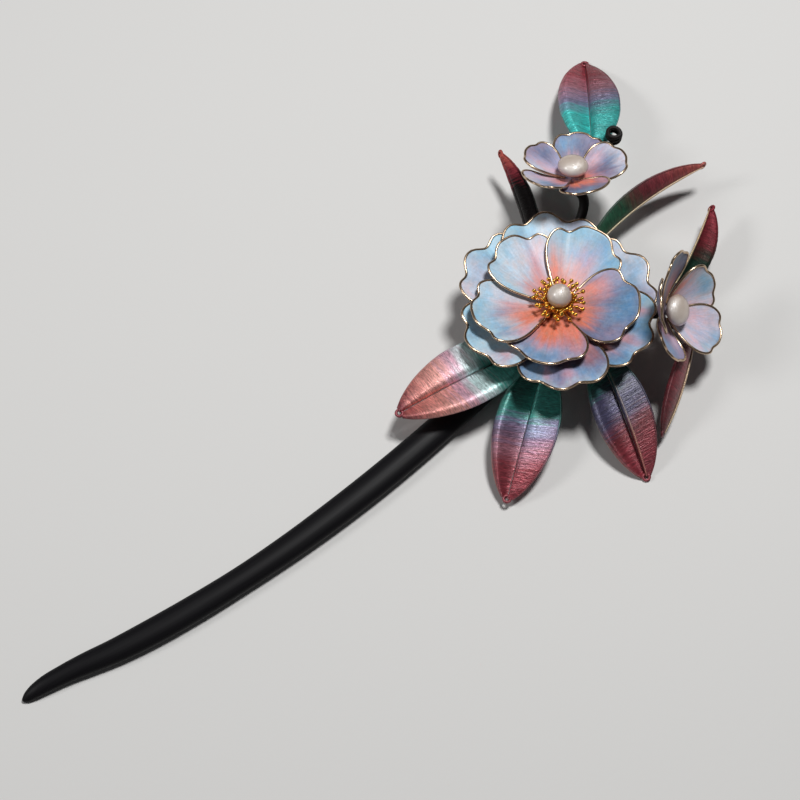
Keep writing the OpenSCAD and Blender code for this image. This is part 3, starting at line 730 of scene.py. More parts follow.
def shared(make, *settings):
    """A material that several pieces use, made once."""
    key = (make.__name__, *(s for s in settings if isinstance(s, str)))
    if key not in made_materials:
        made_materials[key] = make(*settings)
    return made_materials[key]


def new_material(name):
    """A material with the plain surface shader, and its node tree."""
    material = bpy.data.materials.new(name)
    material.use_nodes = True
    return material, material.node_tree


def set_inputs(tree, node, inputs):
    """Sets each input of a node to a value, or links it to another node's output."""
    for socket, value in inputs.items():
        if isinstance(value, bpy.types.NodeSocket):
            tree.links.new(value, node.inputs[socket])
        else:
            node.inputs[socket].default_value = value


def add(tree, kind, inputs, **settings):
    """A new shader node with its settings and its inputs."""
    node = tree.nodes.new(kind)
    for name, value in settings.items():
        setattr(node, name, value)
    set_inputs(tree, node, inputs)
    return node


def grain_noise(tree, size, detail=3, roughness=0.6):
    """Noise laid along a piece's own grain; size is that of its marks in mm across, along and apart."""
    grain = add(tree, "ShaderNodeAttribute", {}, attribute_name="grain")
    place = add(tree, "ShaderNodeVectorMath", {
        0: grain.outputs["Vector"], 1: tuple(1 / s for s in size)}, operation="MULTIPLY")
    marks = add(tree, "ShaderNodeTexNoise", {
        "Vector": place.outputs[0], "Scale": 1, "Detail": detail, "Roughness": roughness})
    return marks.outputs["Fac"]


def stained_wood(settings):
    """Sandalwood stained black, turned, sanded and oiled: near black with a broad satin light, and a
    grain that only shows where the light grazes it."""
    material, tree = new_material("black_stained_sandalwood")
    # A streak of grain is about 30 times as long as it is wide
    width = settings.grain / MM
    streaks = grain_noise(tree, (width, 30 * width, 1), 4)
    colour = add(tree, "ShaderNodeMix", {
        0: streaks, MIX_A: settings.pores[:], MIX_B: settings.wood[:]}, data_type="RGBA")
    polish = add(tree, "ShaderNodeMapRange", {"Value": streaks, **NOISE_SPAN, "To Min": 0.42, "To Max": 0.52})
    relief = add(tree, "ShaderNodeBump", {"Height": streaks, "Distance": 0.02 * MM})
    set_inputs(tree, tree.nodes["Principled BSDF"], {
        "Base Color": colour.outputs[MIX_OUT], "Roughness": polish.outputs[0], "IOR": 1.5,
        "Specular IOR Level": 0.15, "Normal": relief.outputs[0]})
    return material


def painted_film():
    """Clear resin film over fine cloth, dipped in its wire rim and washed with pearl colours by brush:
    soft satin, with faint fibres that run from the root to the rim."""
    material, tree = new_material("brush_painted_resin_film")
    wash = add(tree, "ShaderNodeAttribute", {}, attribute_name="paint")
    # The cloth's fibres are about 0.05 mm wide, too fine to show: they are drawn 0.35 mm wide
    fibres = grain_noise(tree, (0.35, 5, 1), 4)
    # The brush leaves specks of about 0.6 mm, dabs of 1 mm, blots of 2 mm and clouds of 3 mm
    specks = grain_noise(tree, (0.55, 0.7, 1), 3, 0.8)
    dabs = grain_noise(tree, (0.9, 1.4, 1), 4, 0.7)
    blots = grain_noise(tree, (1.7, 2.8, 1), 4, 0.65)
    cloud = grain_noise(tree, (2.2, 3.5, 1), 3)
    pearly, warm, light, clouded, specked, dull = (
        add(tree, "ShaderNodeMapRange", {
            "Value": marks, **NOISE_SPAN, "To Min": low, "To Max": high}).outputs[0]
        for marks, low, high in (
            (dabs, 0, 0.16), (blots, 0, 1), (fibres, 1.12, 1.42), (cloud, 0.88, 1.08),
            (specks, 0.86, 1.14), (cloud, 0.42, 0.56)))
    lit = add(tree, "ShaderNodeMix", {
        0: pearly, MIX_A: wash.outputs["Color"], MIX_B: linear("#DDE3EE")}, data_type="RGBA")
    hue = add(tree, "ShaderNodeMix", {
        0: warm, MIX_A: linear("#CDE9F5"), MIX_B: linear("#F8E0D5")}, data_type="RGBA")
    tinted = add(tree, "ShaderNodeVectorMath", {
        0: lit.outputs[MIX_OUT], 1: hue.outputs[MIX_OUT]}, operation="MULTIPLY")
    shade = add(tree, "ShaderNodeMath", {0: clouded, 1: specked}, operation="MULTIPLY")
    both = add(tree, "ShaderNodeMath", {0: light, 1: shade.outputs[0]}, operation="MULTIPLY")
    colour = add(tree, "ShaderNodeVectorMath", {
        0: tinted.outputs[0], "Scale": both.outputs[0]}, operation="SCALE")
    relief = add(tree, "ShaderNodeBump", {"Height": fibres, "Distance": 0.02 * MM})
    set_inputs(tree, tree.nodes["Principled BSDF"], {
        "Base Color": colour.outputs[0], "Roughness": dull, "IOR": 1.5, "Coat Weight": 0.1,
        "Coat Roughness": 0.3, "Sheen Weight": 0.1, "Sheen Roughness": 0.4, "Normal": relief.outputs[0]})
    return material


def film_back(settings):
    """The bare back of the film, dyed dark: duller than the painted face."""
    material, tree = new_material("dyed_film_back")
    # The dye dries in clouds of 2 to 3 mm
    cloud = grain_noise(tree, (2, 3, 1))
    colour = add(tree, "ShaderNodeMix", {
        0: cloud, MIX_A: settings.maroon[:], MIX_B: linear("#6E3A44")}, data_type="RGBA")
    set_inputs(tree, tree.nodes["Principled BSDF"], {
        "Base Color": colour.outputs[MIX_OUT], "Roughness": 0.4, "IOR": 1.5, "Coat Weight": 0.3,
        "Coat Roughness": 0.2})
    return material


def gilt_wire(name, colour, roughness):
    """Drawn brass wire, gilt and polished: bright narrow lights beside dark reflections, with faint
    draw marks along the wire."""
    material, tree = new_material(name)
    # Draw marks are about 0.01 mm wide, too fine to show: they are drawn 0.12 mm wide
    marks = grain_noise(tree, (0.12, 3, 1))
    polish = add(tree, "ShaderNodeMapRange", {
        "Value": marks, **NOISE_SPAN, "To Min": roughness - 0.05, "To Max": roughness + 0.07})
    relief = add(tree, "ShaderNodeBump", {"Height": marks, "Distance": 0.003 * MM})
    set_inputs(tree, tree.nodes["Principled BSDF"], {
        "Base Color": colour, "Metallic": 1, "Roughness": polish.outputs[0], "Normal": relief.outputs[0]})
    return material


def nacre(settings):
    """Freshwater pearl, natural nacre: a cream body with soft broad lights under a bright skin, that turns
    warmer and darker towards its outline as seen: partly the nacre's own tint and partly painted shade
    where the round pearl's face turns away from the light."""
    material, tree = new_material("freshwater_pearl_nacre")
    # Painted shade, partly the nacre's own warmer tint: the body is mixed with dark warm brown towards the
    # pearl's outline
    edge = add(tree, "ShaderNodeLayerWeight", {"Blend": 0.38}).outputs["Facing"]
    # 420 marks across a pearl, each about 0.02 mm: the nacre's own fine plates, which aren't seen one by
    # one and only soften its lights
    plates = add(tree, "ShaderNodeTexNoise", {"Scale": 420, "Detail": 3}).outputs["Fac"]
    grey = add(tree, "ShaderNodeMapRange", {"Value": plates, **NOISE_SPAN, "To Min": 0, "To Max": 0.35})
    body = add(tree, "ShaderNodeMix", {
        0: grey.outputs[0], MIX_A: settings.nacre[:], MIX_B: linear("#BDB7B6")}, data_type="RGBA")
    colour = add(tree, "ShaderNodeMix", {
        0: edge, MIX_A: body.outputs[MIX_OUT], MIX_B: linear("#9A7252")}, data_type="RGBA")
    relief = add(tree, "ShaderNodeBump", {"Height": plates, "Distance": 0.05 * MM})
    set_inputs(tree, tree.nodes["Principled BSDF"], {
        "Base Color": colour.outputs[MIX_OUT], "Roughness": 0.34, "IOR": 2.0, "Specular IOR Level": 1.0,
        "Coat Weight": 1, "Coat Roughness": 0.13, "Normal": relief.outputs[0]})
    return material


def wound_silk(name, gloss):
    """Dyed silk floss wound side by side: the filaments' sides reflect in the dye's own colour, drawn as
    a part of metal, so the halves are deep in the shade and glisten in streaks where they face the light.
    The plain floss has a clear skin over that; its dulled copy, painted shade for leaves that lie in shade,
    keeps only a little of it."""
    material, tree = new_material(name)
    dye = add(tree, "ShaderNodeAttribute", {}, attribute_name="paint")
    # A filament is about 0.02 mm wide, too fine to show: the streaks are drawn about 0.3 mm wide
    strands = grain_noise(tree, (1.5, 0.26, 1), 3)
    glints = grain_noise(tree, (0.8, 0.3, 1), 2)
    # The strands scale the dye from dark to bright: partly the threads' own differing tone, partly painted
    # glints where single threads would catch the light
    light = add(tree, "ShaderNodeMapRange", {"Value": strands, **NOISE_SPAN, "To Min": 0.35, "To Max": 1.85})
    polish = add(tree, "ShaderNodeMapRange", {"Value": glints, **NOISE_SPAN, "To Min": 0.62, "To Max": 0.24})
    colour = add(tree, "ShaderNodeVectorMath", {
        0: dye.outputs["Color"], "Scale": light.outputs[0]}, operation="SCALE")
    relief = add(tree, "ShaderNodeBump", {"Height": strands, "Distance": 0.2 * MM})
    set_inputs(tree, tree.nodes["Principled BSDF"], {
        "Base Color": colour.outputs[0], "Roughness": polish.outputs[0], "Metallic": 0.45,
        "Specular IOR Level": gloss, "Coat Weight": 0.35 * gloss, "Coat Roughness": 0.36,
        "Normal": relief.outputs[0]})
    return material


def waxed_thread(settings):
    """Cotton thread, dyed dark brown and waxed: nearly black with small soft lights on each turn."""
    material, tree = new_material("waxed_cotton_thread")
    # A cotton fibre is about 0.02 mm wide, too fine to show: the fibres are drawn 0.15 mm wide
    fibres = grain_noise(tree, (0.8, 0.15, 1), 2)
    colour = add(tree, "ShaderNodeMix", {
        0: fibres, MIX_A: linear("#140F0F"), MIX_B: settings.thread[:]}, data_type="RGBA")
    relief = add(tree, "ShaderNodeBump", {"Height": fibres, "Distance": 0.02 * MM})
    set_inputs(tree, tree.nodes["Principled BSDF"], {
        "Base Color": colour.outputs[MIX_OUT], "Roughness": 0.55, "IOR": 1.45, "Specular IOR Level": 0.3,
        "Normal": relief.outputs[0]})
    return material


def pale_floor(colour):
    """Smooth matt card: an even pale ground with a barely visible tooth."""
    material, tree = new_material("matt_card")
    # The card's tooth is about 0.1 mm, too fine to show: 1500 marks over 3 m draw it 2 mm wide
    tooth = add(tree, "ShaderNodeTexNoise", {"Scale": 1500, "Detail": 2}).outputs["Fac"]
    relief = add(tree, "ShaderNodeBump", {"Height": tooth, "Distance": 0.02 * MM})
    set_inputs(tree, tree.nodes["Principled BSDF"], {
        "Base Color": colour, "Roughness": 0.8, "Specular IOR Level": 0.2, "Normal": relief.outputs[0]})
    return material


def wound_tube(form, path, radius, pitch, relief, sides=16, seed=0, paint=(1, 1, 1, 1)):
    """A tube along a path, wound with thread in a close helix."""
    points, run = even_route(path, pitch / RINGS_PER_THREAD)
    angle = np.linspace(0, 2 * math.pi, sides, endpoint=False)
    turns = run[:, None] + angle / (2 * math.pi) * pitch
    radii = radius + relief * thread_relief(turns, pitch)
    grain = np.stack(np.broadcast_arrays(angle * radius, turns, float(seed)), -1)
    form.grid(rings_along(points, radii, sides), wrap=True, caps=True, grain=grain, paint=paint)


class StickOperator(bpy.types.Operator):
    """Turns the wooden stick with its willow-leaf point"""

    bl_idname = "kanzashi.stick"
    bl_label = "Stick"

    def execute(self, context):
        rows = np.array(STICK_ROWS, float)
        t = rows[:, 0] / STICK_LEN
        rest = STICK_REST / STICK_LEN
        high = STICK_LIFT * np.abs(t - rest) / (1 - rest) + rows[:, 2] / 2
        across = rows[:, 3] - 4 * STICK_BOW * t * (1 - t)
        table = np.column_stack([rows[:, 0], rows[:, 1] / 2, rows[:, 2] / 2, across, high])
        at = np.concatenate([np.linspace(*stretch) for stretch in STICK_STRETCHES])
        half_w, half_t, y, z = smooth_table(table, at).T[..., None]
        angle = np.linspace(0, 2 * math.pi, ROUND_SIDES, endpoint=False)
        x = at[:, None] - STICK_LEN + STICK_PAST + 0 * angle
        points = np.stack([x, y + half_w * np.cos(angle), z + half_t * np.sin(angle)], -1)
        grain = np.stack([angle * half_w, x, 0 * x], -1)
        form = Form()
        form.grid(points + HEAD, wrap=True, caps=True, grain=grain)
        piece = form.piece("stick_wood", [stained_wood(context.scene.kanzashi_stick)])
        dressed(piece, "stick")
        return {"FINISHED"}


def petal_surface(kind, petal, u, v, wire_r):
    """Points of a petal's middle surface at shares u along and v across, in its flower's own place, with
    their distances from the flower's middle and their angles from the petal's own middle."""
    turn, share, spread, rise_share, notches, (clockwise, counter) = petal
    side_reach, notch_depth, notch_width = kind.rim
    notched = sum(np.exp(-((v - at) / notch_width) ** 2) for at in notches)
    round_share = side_reach + (1 - side_reach) * np.sqrt(np.maximum(0, 1 - np.abs(v) ** ROUND_POWER))
    edge = kind.reach * share * round_share * (1 - notch_depth * notched) - wire_r
    rho = ROOT_R + np.where(u < 0, ROOT_R, edge - ROOT_R) * u
    opening = np.clip(u / ROOT_SHARE, 0, 1)
    half = np.radians(ROOT_HALF + (spread - ROOT_HALF) * opening * (2 - opening))
    theta = v * (half - wire_r / np.maximum(rho, NARROWING_R)) + math.radians(turn)
    far = rho / kind.reach
    u = np.maximum(u, 0)
    lift = kind.rise * rise_share * far ** RISE_POWER + CORNER_CURL * v ** 2 * far ** 2
    side = clockwise + (counter - clockwise) * (v + 1) / 2
    step = SIDE_STEP * np.minimum(rho / kind.parted, 1) * side
    z = kind.base + lift + step - kind.ruffle * notched * u ** RUFFLE_POWER
    points = np.stack([rho * np.cos(theta), rho * np.sin(theta), z], -1)
    return flower_points(kind.flower, points), rho, v * half


def strokes(v, count, seed):
    """Chance values from -1 to 1 of that many brush strokes side by side from v = -1 to 1."""
    chance = np.random.default_rng(seed).uniform(-1, 1, count)
    return np.interp(v, np.linspace(-1, 1, count), chance)


def brushed(name, u, v, seed, settings):
    """Colours of a petal: its washes laid over its ground, with the wandering ends of brush strokes."""
    ground, washes = WASHES[name]
    fan = v + STROKE_SWAY * np.sin(5 * u + seed)
    along = u + END_STRAY * strokes(fan, FINE_STROKES, seed)
    along = along + END_STRAY * strokes(fan, BROAD_STROKES, seed + 50)
    across = v + WASH_SWAY * np.sin(7 * u + 3 * seed) + SIDE_STRAY * strokes(fan, SIDE_STROKES, seed + 90)
    colour = np.broadcast_to(named_colour(settings, ground), u.shape + (3,)).copy()
    for wash, at_u, at_v, reach_u, reach_v, strength in washes:
        weight = strength * np.exp(-((along - at_u) / reach_u) ** 2 - ((across - at_v) / reach_v) ** 2)
        colour += weight[..., None] * (named_colour(settings, wash) - colour)
    return np.concatenate([colour, np.ones(u.shape + (1,))], -1)


def make_petals(context, group):
    """The painted films and gilt rims of one kind of petal."""
    settings = context.scene.kanzashi_petals
    kind = PETAL_KINDS[group]
    film, back = shared(painted_film), shared(film_back, settings)
    gilt = shared(gilt_wire, "gilt_rim_wire", settings.rim[:], RIM_ROUGHNESS)
    wire_r = settings.wire / MM / 2
    # Columns stand closer towards both sides, where the rim turns
    even = np.linspace(-1, 1, FILM_COLUMNS)
    across = np.sign(even) * (1 - (1 - np.abs(even)) ** 2)
    film_u, film_v = np.meshgrid(np.linspace(-kind.inward, 1, FILM_ROWS), across, indexing="ij")
    side = np.linspace(RIM_FROM, RIM_TO, RIM_POINTS)
    rim_u = np.concatenate([side, np.ones(FILM_COLUMNS), side[::-1]])
    rim_v = np.concatenate([np.full(RIM_POINTS, -1.0), across, np.full(RIM_POINTS, 1.0)])
    for number, petal in enumerate(kind.petals, 1):
        name = f"{group}_{number}"
        points, rho, theta = petal_surface(kind, petal, film_u, film_v, wire_r)
        grain = np.stack([theta * GRAIN_R, rho, np.full(rho.shape, 10.0 * number + kind.seed)], -1)
        paint = brushed(name, np.maximum(film_u, 0), film_v, number + kind.seed, settings)
        form = Form()
        form.grid(points, flip=True, paint=paint, grain=grain)
        piece = form.piece(name + "_film", [film, back])
        thick = piece.modifiers.new("thickness", "SOLIDIFY")
        thick.thickness = settings.film
        thick.offset = 0
        thick.material_offset = 1
        dressed(piece, name)

        path, _, _ = petal_surface(kind, petal, rim_u, rim_v, wire_r)
        path, run = even_route(path, RIM_STEP)
        angle = np.linspace(0, 2 * math.pi * wire_r, RIM_SIDES, endpoint=False)
        grain = np.stack(np.broadcast_arrays(angle, run[:, None], float(number)), -1)
        form = Form()
        form.grid(rings_along(path, [wire_r] * len(path), RIM_SIDES), wrap=True, caps=True, grain=grain)
        dressed(form.piece(name + "_rim", [gilt]), name)


class MainFlowerOperator(bpy.types.Operator):
    """Makes the main flower's two tiers of petals"""

    bl_idname = "kanzashi.main_flower"
    bl_label = "Main Flower Petals"

    def execute(self, context):
        make_petals(context, "outer_petal")
        make_petals(context, "inner_petal")
        return {"FINISHED"}


class SmallFlowersOperator(bpy.types.Operator):
    """Makes the petals of the two small flowers"""

    bl_idname = "kanzashi.small_flowers"
    bl_label = "Small Flower Petals"

    def execute(self, context):
        make_petals(context, "top_petal")
        make_petals(context, "side_petal")
        return {"FINISHED"}


class PearlsOperator(bpy.types.Operator):
    """Sets the three pearls, each a little uneven as grown"""

    bl_idname = "kanzashi.pearls"
    bl_label = "Pearls"

    def execute(self, context):
        settings = context.scene.kanzashi_pearls
        uneven = settings.uneven / MM
        for number, (name, (flower, seat, width, share)) in enumerate(PEARLS.items()):
            shape = bmesh.new()
            bmesh.ops.create_icosphere(shape, subdivisions=PEARL_DIVISIONS, radius=1)
            ball = np.array([v.co for v in shape.verts])
            apart = Vector((number * PEARL_STEP, 0, 0))
            bumps = np.array([noise.noise(Vector(p) * PEARL_WAVES + apart) for p in ball])
            radius = (width / 2 + uneven * (bumps[:, None] - PEARL_INWARD)) * np.array((1, 1, share))
            points = flower_points(flower, ball * radius + (0, 0, seat + width * share / 2))
            for vert, point in zip(shape.verts, points):
                vert.co = point * MM
            for face in shape.faces:
                face.smooth = True
            mesh = bpy.data.meshes.new(name + "_nacre")
            shape.to_mesh(mesh)
            shape.free()
            mesh.materials.append(shared(nacre, settings))
            dressed(linked(name + "_nacre", mesh), name)
        return {"FINISHED"}


def ball_rows(centre, radius, rows=9, sides=14):
    """Rows of points of a small ball, from its foot to its top."""
    tilt = np.linspace(-math.pi / 2, math.pi / 2, rows)[:, None]
    turn = np.linspace(0, 2 * math.pi, sides, endpoint=False)
    x, y, z = np.cos(tilt) * np.cos(turn), np.cos(tilt) * np.sin(turn), np.sin(tilt)
    return np.array(centre) + radius * np.stack(np.broadcast_arrays(x, y, z), -1)


class StamensOperator(bpy.types.Operator):
    """Makes the gilt cup, its fine wires with ball ends and the beaded collar round the pearl"""

    bl_idname = "kanzashi.stamens"
    bl_label = "Stamens"

    def execute(self, context):
        settings = context.scene.kanzashi_stamens
        gilt = shared(gilt_wire, "gilt_stamen_wire", settings.gilt[:], STAMEN_ROUGHNESS)
        ball_r, wire_r = settings.ball / MM / 2, settings.filament / MM / 2
        chance = random.Random(STAMEN_SEED)
        form = Form()
        radius, low, high, bulge, open_r = CUP
        middle = (low + high) / 2
        profile = np.array((
            (0, low), (radius, low), (radius + bulge, middle), (radius, high), (open_r, high)))
        turn = np.linspace(0, 2 * math.pi, CUP_SIDES, endpoint=False)
        cup = np.stack([profile[:, :1] * np.cos(turn), profile[:, :1] * np.sin(turn),
                        profile[:, 1:] + 0 * turn], -1)
        form.grid(flower_points(MAIN_FLOWER, cup), wrap=True, caps=True)
        for count, distance, height, first in STAMEN_RINGS:
            for k in range(count):
                angle = math.radians(first + 360 * k / count + chance.uniform(-STAMEN_SWAY, STAMEN_SWAY))
                out = np.array((math.cos(angle), math.sin(angle), 0))
                reach = distance + chance.uniform(-STAMEN_OUT, STAMEN_OUT)
                end = out * reach + (0, 0, height + chance.uniform(-STAMEN_UP, STAMEN_UP))
                foot = out * FILAMENT_ROOT + (0, 0, middle)
                knee = (foot + end) / 2 - out * KNEE_IN + (0, 0, KNEE_UP)
                route = flower_points(MAIN_FLOWER, rounded_route((foot, knee, end), FILAMENT_POINTS))
                wire = rings_along(route, [wire_r] * len(route), FILAMENT_SIDES)
                form.grid(wire, wrap=True, caps=True)
                ball = ball_rows(end, ball_r * chance.uniform(*BALL_SIZES))
                form.grid(flower_points(MAIN_FLOWER, ball), wrap=True, caps=True)
        count, distance, height, bead_r = COLLAR
        for k in range(count):
            angle = 2 * math.pi * k / count
            centre = (distance * math.cos(angle), distance * math.sin(angle), height)
            form.grid(flower_points(MAIN_FLOWER, ball_rows(centre, bead_r)), wrap=True, caps=True)
        dressed(form.piece("stamens_gilt", [gilt]), "stamens")
        return {"FINISHED"}


def leaf_frame(leaf):
    """The way along a leaf, the way to its left and the way up from it."""
    way = unit(np.subtract(leaf.tip, leaf.base))
    left = unit(np.cross((0, 0, 1), way))
    left = np.array(Matrix.Rotation(math.radians(leaf.roll), 3, Vector(way)) @ Vector(left))
    return way, left, np.cross(way, left)


def on_leaf(leaf, t, out, rise):
    """Points of a leaf at shares t of its length, a row for each: out to the left of its arched middle
    line and rise above it."""
    _, left, up = leaf_frame(leaf)
    t = t[:, None]
    middle = leaf.base + t * np.subtract(leaf.tip, leaf.base) + up * (4 * leaf.arch * t * (1 - t)) + HEAD
    return middle[:, None] + left * out[..., None] + up * rise[..., None]


def blade_size(leaf, t):
    """Width of a half leaf and its thickness at shares t of its length, a row for each."""
    width, thick = smooth_table(BLADE_ROWS, t).T[..., None]
    return width * LEAF_W / 2 * leaf.wide, thick * LEAF_T


def dyed(leaf, place, settings):
    """Colours of a leaf's thread at shares of its length."""
    stops, names = zip(*leaf.dyes)
    dyes = [named_colour(settings, name) for name in names]
    place = np.clip(place, 0, 1)
    return np.stack([np.interp(place, stops, [dye[c] for dye in dyes]) for c in range(3)]
                    + [np.ones(place.shape)], -1)


def wound_half(form, leaf, side, settings, seed):
    """One rounded half of a leaf, wound with silk: side is 1 for the left half, -1 for the right."""
    fold = math.radians(leaf.fold)
    long = np.linalg.norm(np.subtract(leaf.tip, leaf.base))
    pitch, relief = settings.pitch / MM, settings.relief / MM
    t = np.linspace(0, 1, int(long / pitch * LEAF_RINGS))
    width, thick = blade_size(leaf, t)
    phi = np.linspace(0, 2 * math.pi, LEAF_AROUND, endpoint=False)
    x = (1 + np.cos(phi)) / 2
    lean = 2 ** (leaf.lean * side)
    hump = CROWN * np.sin(math.pi * x ** lean) ** FULL_POWER
    hollow = np.sin(math.pi * x) ** FULL_POWER
    z = thick * np.where(phi <= math.pi, EDGE + (1 - EDGE) * hump, EDGE - (EDGE + UNDERSIDE) * hollow)
    run = t[:, None] * long + THREAD_SLANT * side * x * width
    for height, across, along, step in THREAD_WAVES:
        run = run + height * np.sin(across * x + t[:, None] * along + step * seed)
    deep = relief * (thread_relief(run, pitch) + THREAD_UNEVEN * thread_chance(run, pitch, seed) - 1)
    out = x * width * math.cos(fold) + deep * np.cos(phi)
    rise = x * width * math.sin(fold) + z + deep * np.sin(phi)
    stray = DYE_WAVE * np.sin(3 * x + 2 * seed) + DYE_STRAY * (thread_chance(run, pitch, seed + 3) - 0.5)
    paint = dyed(leaf, run / long + stray, settings)
    # Each half's lightness: the thread's own, with painted light on the lighter half of a leaf and painted
    # shade on the darker half
    lightness_and_painted_light = leaf.tones[0 if side > 0 else 1]
    paint[..., :3] *= (lightness_and_painted_light * (DARKEST + LIGHTER * thread_chance(run, pitch, seed + 5)))[..., None]
    grain = np.stack([x * width + 0 * run, run, np.full(run.shape, float(seed))], -1)
    points = on_leaf(leaf, t, side * out, rise)
    form.grid(points, wrap=True, caps=True, flip=side > 0, paint=paint, grain=grain)


def edge_cord(form, leaf, cord, settings):
    """A cord of a leaf's wire frame, wound with the same silk; a tone above 1 and the mix towards the pale
    gilt colour paint a highlight along the cord.
    """
    side, share, lift, lightness_and_painted_light, gilt = cord
    fold = math.radians(leaf.fold)
    t = np.linspace(0, 1, CORD_POINTS)
    width, thick = blade_size(leaf, t)
    out = share * width
    rise = out * math.sin(fold) + lift * thick
    path = on_leaf(leaf, t, side * out * math.cos(fold), rise)[:, 0]
    path, run = even_route(path, CORD_STEP)
    from_end = np.minimum(run, run[-1] - run) / run[-1]
    radii = CORD_R * np.minimum(1, CORD_END + CORD_TAPER * from_end)
    paint = dyed(leaf, run / run[-1], settings)[:, None] * (lightness_and_painted_light, lightness_and_painted_light, lightness_and_painted_light, 1)
    # Painted highlight: the cord's colour mixed towards the pale gilt colour
    paint[..., :3] += gilt * (named_colour(settings, "gilt") - paint[..., :3])
    grain = np.stack(np.broadcast_arrays(0.0, run[:, None], np.full((1, CORD_SIDES), CORD_GRAIN)), -1)
    form.grid(rings_along(path, radii, CORD_SIDES), wrap=True, caps=True, paint=paint, grain=grain)


def tip_loop(form, leaf, settings):
    """The small loop of wound wire at a leaf's tip."""
    way, left, up = leaf_frame(leaf)
    centre = leaf.tip + HEAD + LOOP_FORWARD * way + LOOP_UP * up
    angle = np.linspace(0, 2 * math.pi, LOOP_POINTS)[:, None]
    path = centre + LOOP_R * (np.cos(angle) * left + np.sin(angle) * way)
    path[:, 2] += max(0, LOOP_LOWEST - path[:, 2].min())
    _, last_dye = leaf.dyes[-1]
    wound_tube(form, path, LOOP_WIRE_R, settings.pitch / MM, settings.relief / MM / 2, LOOP_SIDES,
               paint=(*named_colour(settings, last_dye), 1))


class LeavesOperator(bpy.types.Operator):
    """Winds the eight silk leaves, with their tip loops and stalks"""

    bl_idname = "kanzashi.leaves"
    bl_label = "Leaves"

    def execute(self, context):
        settings = context.scene.kanzashi_leaves
        winding = context.scene.kanzashi_winding
        for number, (name, leaf) in enumerate(LEAVES.items(), 1):
            form = Form()
            for side in (1, -1):
                wound_half(form, leaf, side, settings, 10 * number + side)
            for cord in LEAF_CORDS.get(name, PLAIN_CORDS):
                edge_cord(form, leaf, cord, settings)
            tip_loop(form, leaf, settings)
            # Painted shade: leaves that lie in shade get the dulled copy of the floss
            floss = DULLED_FLOSS if name in SHADED_LEAVES else PLAIN_FLOSS
            dressed(form.piece(name + "_silk", [shared(wound_silk, *floss)]), name)

            form = Form()
            start, base = leaf.stalk + HEAD, leaf.base + HEAD
            way, _, up = leaf_frame(leaf)
            route = np.array((start, base, base + STALK_FORWARD * way + STALK_UP * up))
            wound_tube(form, route, STALK_R, winding.pitch / MM, winding.relief / MM, seed=number)
            dressed(form.piece(name + "_stalk", [shared(waxed_thread, winding)]), name)
        return {"FINISHED"}


class StemsOperator(bpy.types.Operator):
    """Winds the binding sleeve, the three stems and the coil with waxed thread"""

    bl_idname = "kanzashi.stems"
    bl_label = "Stems"

    def execute(self, context):
        settings = context.scene.kanzashi_winding
        thread = shared(waxed_thread, settings)
        pitch, relief = settings.pitch / MM, settings.relief / MM
        radius, low, high = MAIN_STEM
        main = flower_points(MAIN_FLOWER, np.array(((0, 0, low), (0, 0, high))))
        turns = np.arange(0, COIL_TURNS, 1 / COIL_POINTS)
        angle = math.radians(COIL_FIRST) + 2 * math.pi * turns
        coil = COIL_AT + np.stack([COIL_R * np.cos(angle), COIL_R * np.sin(angle), COIL_RISE * turns], -1)
        lead = rounded_route((*COIL_LEAD, coil[0]))
        routes = {
            "main_stem": (main, radius),
            "top_stem": (rounded_route(TOP_STEM) + HEAD, SMALL_STEM_R),
            "side_stem": (rounded_route(SIDE_STEM) + HEAD, SMALL_STEM_R),
            "coil": (np.concatenate([lead, coil[1:]]) + HEAD, COIL_WIRE_R),
        }
        for seed, (name, (route, wide)) in enumerate(routes.items()):
            form = Form()
            wound_tube(form, route, wide, pitch, relief, seed=seed)
            dressed(form.piece(name + "_winding", [thread]), name)

        at = np.arange(BINDING_ROWS[0][0], BINDING_ROWS[-1][0], pitch / RINGS_PER_THREAD)
        middle, half, lowest, highest = smooth_table(BINDING_ROWS, at).T[..., None]
        angle = np.linspace(0, 2 * math.pi, ROUND_SIDES, endpoint=False)
        run = at[:, None] + angle / (2 * math.pi) * pitch
        deep = relief * thread_relief(run, pitch)
        tall = (highest - lowest) / 2
        points = np.stack([at[:, None] + 0 * angle, middle + (half + deep) * np.cos(angle),
                           (highest + lowest) / 2 + (tall + deep) * np.sin(angle)], -1)
        form = Form()
        form.grid(points + HEAD, wrap=True, caps=True, grain=np.stack([angle * half, run, 0 * run], -1))
        dressed(form.piece("binding_winding", [thread]), "binding")
        return {"FINISHED"}


def aimed(name, data, compass, elevation, distance):
    """A camera or a lamp that looks at the camera's target from that direction and distance."""
    a, e = math.radians(compass), math.radians(elevation)
    back = Vector((math.cos(a) * math.cos(e), math.sin(a) * math.cos(e), math.sin(e)))
    item = linked(name, data)
    item.location = Vector(CAMERA_TARGET) * MM + back * (distance * MM)
    item.rotation_mode = "QUATERNION"
    item.rotation_quaternion = (-back).to_track_quat("-Z", "Y")
    return item


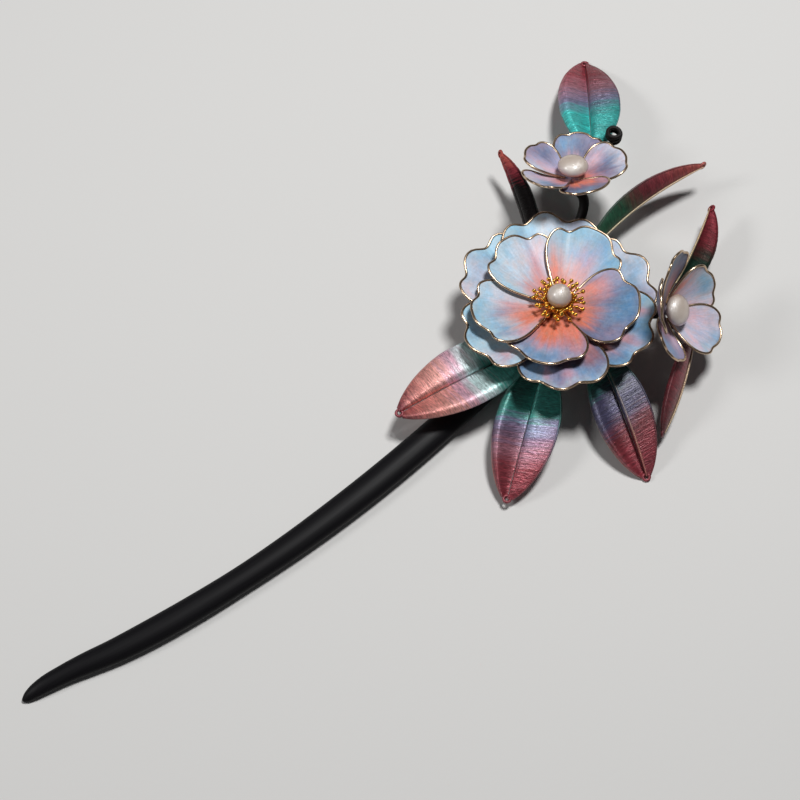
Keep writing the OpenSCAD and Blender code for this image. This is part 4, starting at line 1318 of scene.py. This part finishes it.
class StageOperator(bpy.types.Operator):
    """Lays the pale floor and sets the camera and the soft lights"""

    bl_idname = "kanzashi.stage"
    bl_label = "Stage"

    def execute(self, context):
        settings = context.scene.kanzashi_stage
        form = Form()
        line = np.linspace(-FLOOR_HALF, FLOOR_HALF, FLOOR_POINTS)
        x, y = np.meshgrid(line, line, indexing="ij")
        form.grid(np.stack([x, y, 0 * x - FLOOR_DROP], -1))
        floor = form.piece("floor", [pale_floor(settings.floor[:])])

        view = bpy.data.cameras.new("camera")
        view.lens = CAMERA_LENS
        view.sensor_width = CAMERA_SENSOR
        view.clip_start = CAMERA_NEAREST * MM
        context.scene.camera = aimed("camera", view, *CAMERA_PLACE)

        for name, power, (place, width) in (
                ("key_light", settings.key, KEY_LAMP), ("fill_light", settings.fill, FILL_LAMP)):
            light = bpy.data.lights.new(name, "AREA")
            light.energy = power
            light.shape = "DISK"
            light.size = width * MM
            aimed(name, light, *place)

        world = bpy.data.worlds.new("room")
        world.use_nodes = True
        background = world.node_tree.nodes["Background"]
        background.inputs["Color"].default_value = linear("#F2F4F8")
        background.inputs["Strength"].default_value = settings.sky
        context.scene.world = world
        context.scene.view_settings.view_transform = "Standard"
        return {"FINISHED"}


class KanzashiPanel(bpy.types.Panel):
    """The sidebar panel that lists the pieces and their settings"""

    bl_idname = "VIEW3D_PT_kanzashi"
    bl_label = "Kanzashi Hair Stick"
    bl_space_type = "VIEW_3D"
    bl_region_type = "UI"
    bl_category = "Kanzashi"

    def draw(self, context):
        for operator in OPERATORS:
            self.layout.operator(operator.bl_idname)
        for name, kind in SETTINGS.items():
            box = self.layout.box()
            for setting in kind.__annotations__:
                box.prop(getattr(context.scene, name), setting)


SETTINGS = {
    "kanzashi_stick": StickSettings,
    "kanzashi_petals": PetalSettings,
    "kanzashi_leaves": LeafSettings,
    "kanzashi_pearls": PearlSettings,
    "kanzashi_stamens": StamenSettings,
    "kanzashi_winding": WindingSettings,
    "kanzashi_stage": StageSettings,
}
OPERATORS = (StickOperator, MainFlowerOperator, SmallFlowersOperator, PearlsOperator, StamensOperator,
             LeavesOperator, StemsOperator, StageOperator)


def register():
    for kind in (*SETTINGS.values(), *OPERATORS, KanzashiPanel):
        bpy.utils.register_class(kind)
    for name, kind in SETTINGS.items():
        setattr(bpy.types.Scene, name, bpy.props.PointerProperty(type=kind))


def unregister():
    for name in SETTINGS:
        delattr(bpy.types.Scene, name)
    for kind in (KanzashiPanel, *OPERATORS, *reversed(SETTINGS.values())):
        bpy.utils.unregister_class(kind)


def main():
    """Makes every piece and the stage."""
    register()
    for operator in OPERATORS:
        getattr(bpy.ops.kanzashi, operator.bl_idname.split(".")[1])()
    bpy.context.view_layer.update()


if __name__ == "__main__":
    main()
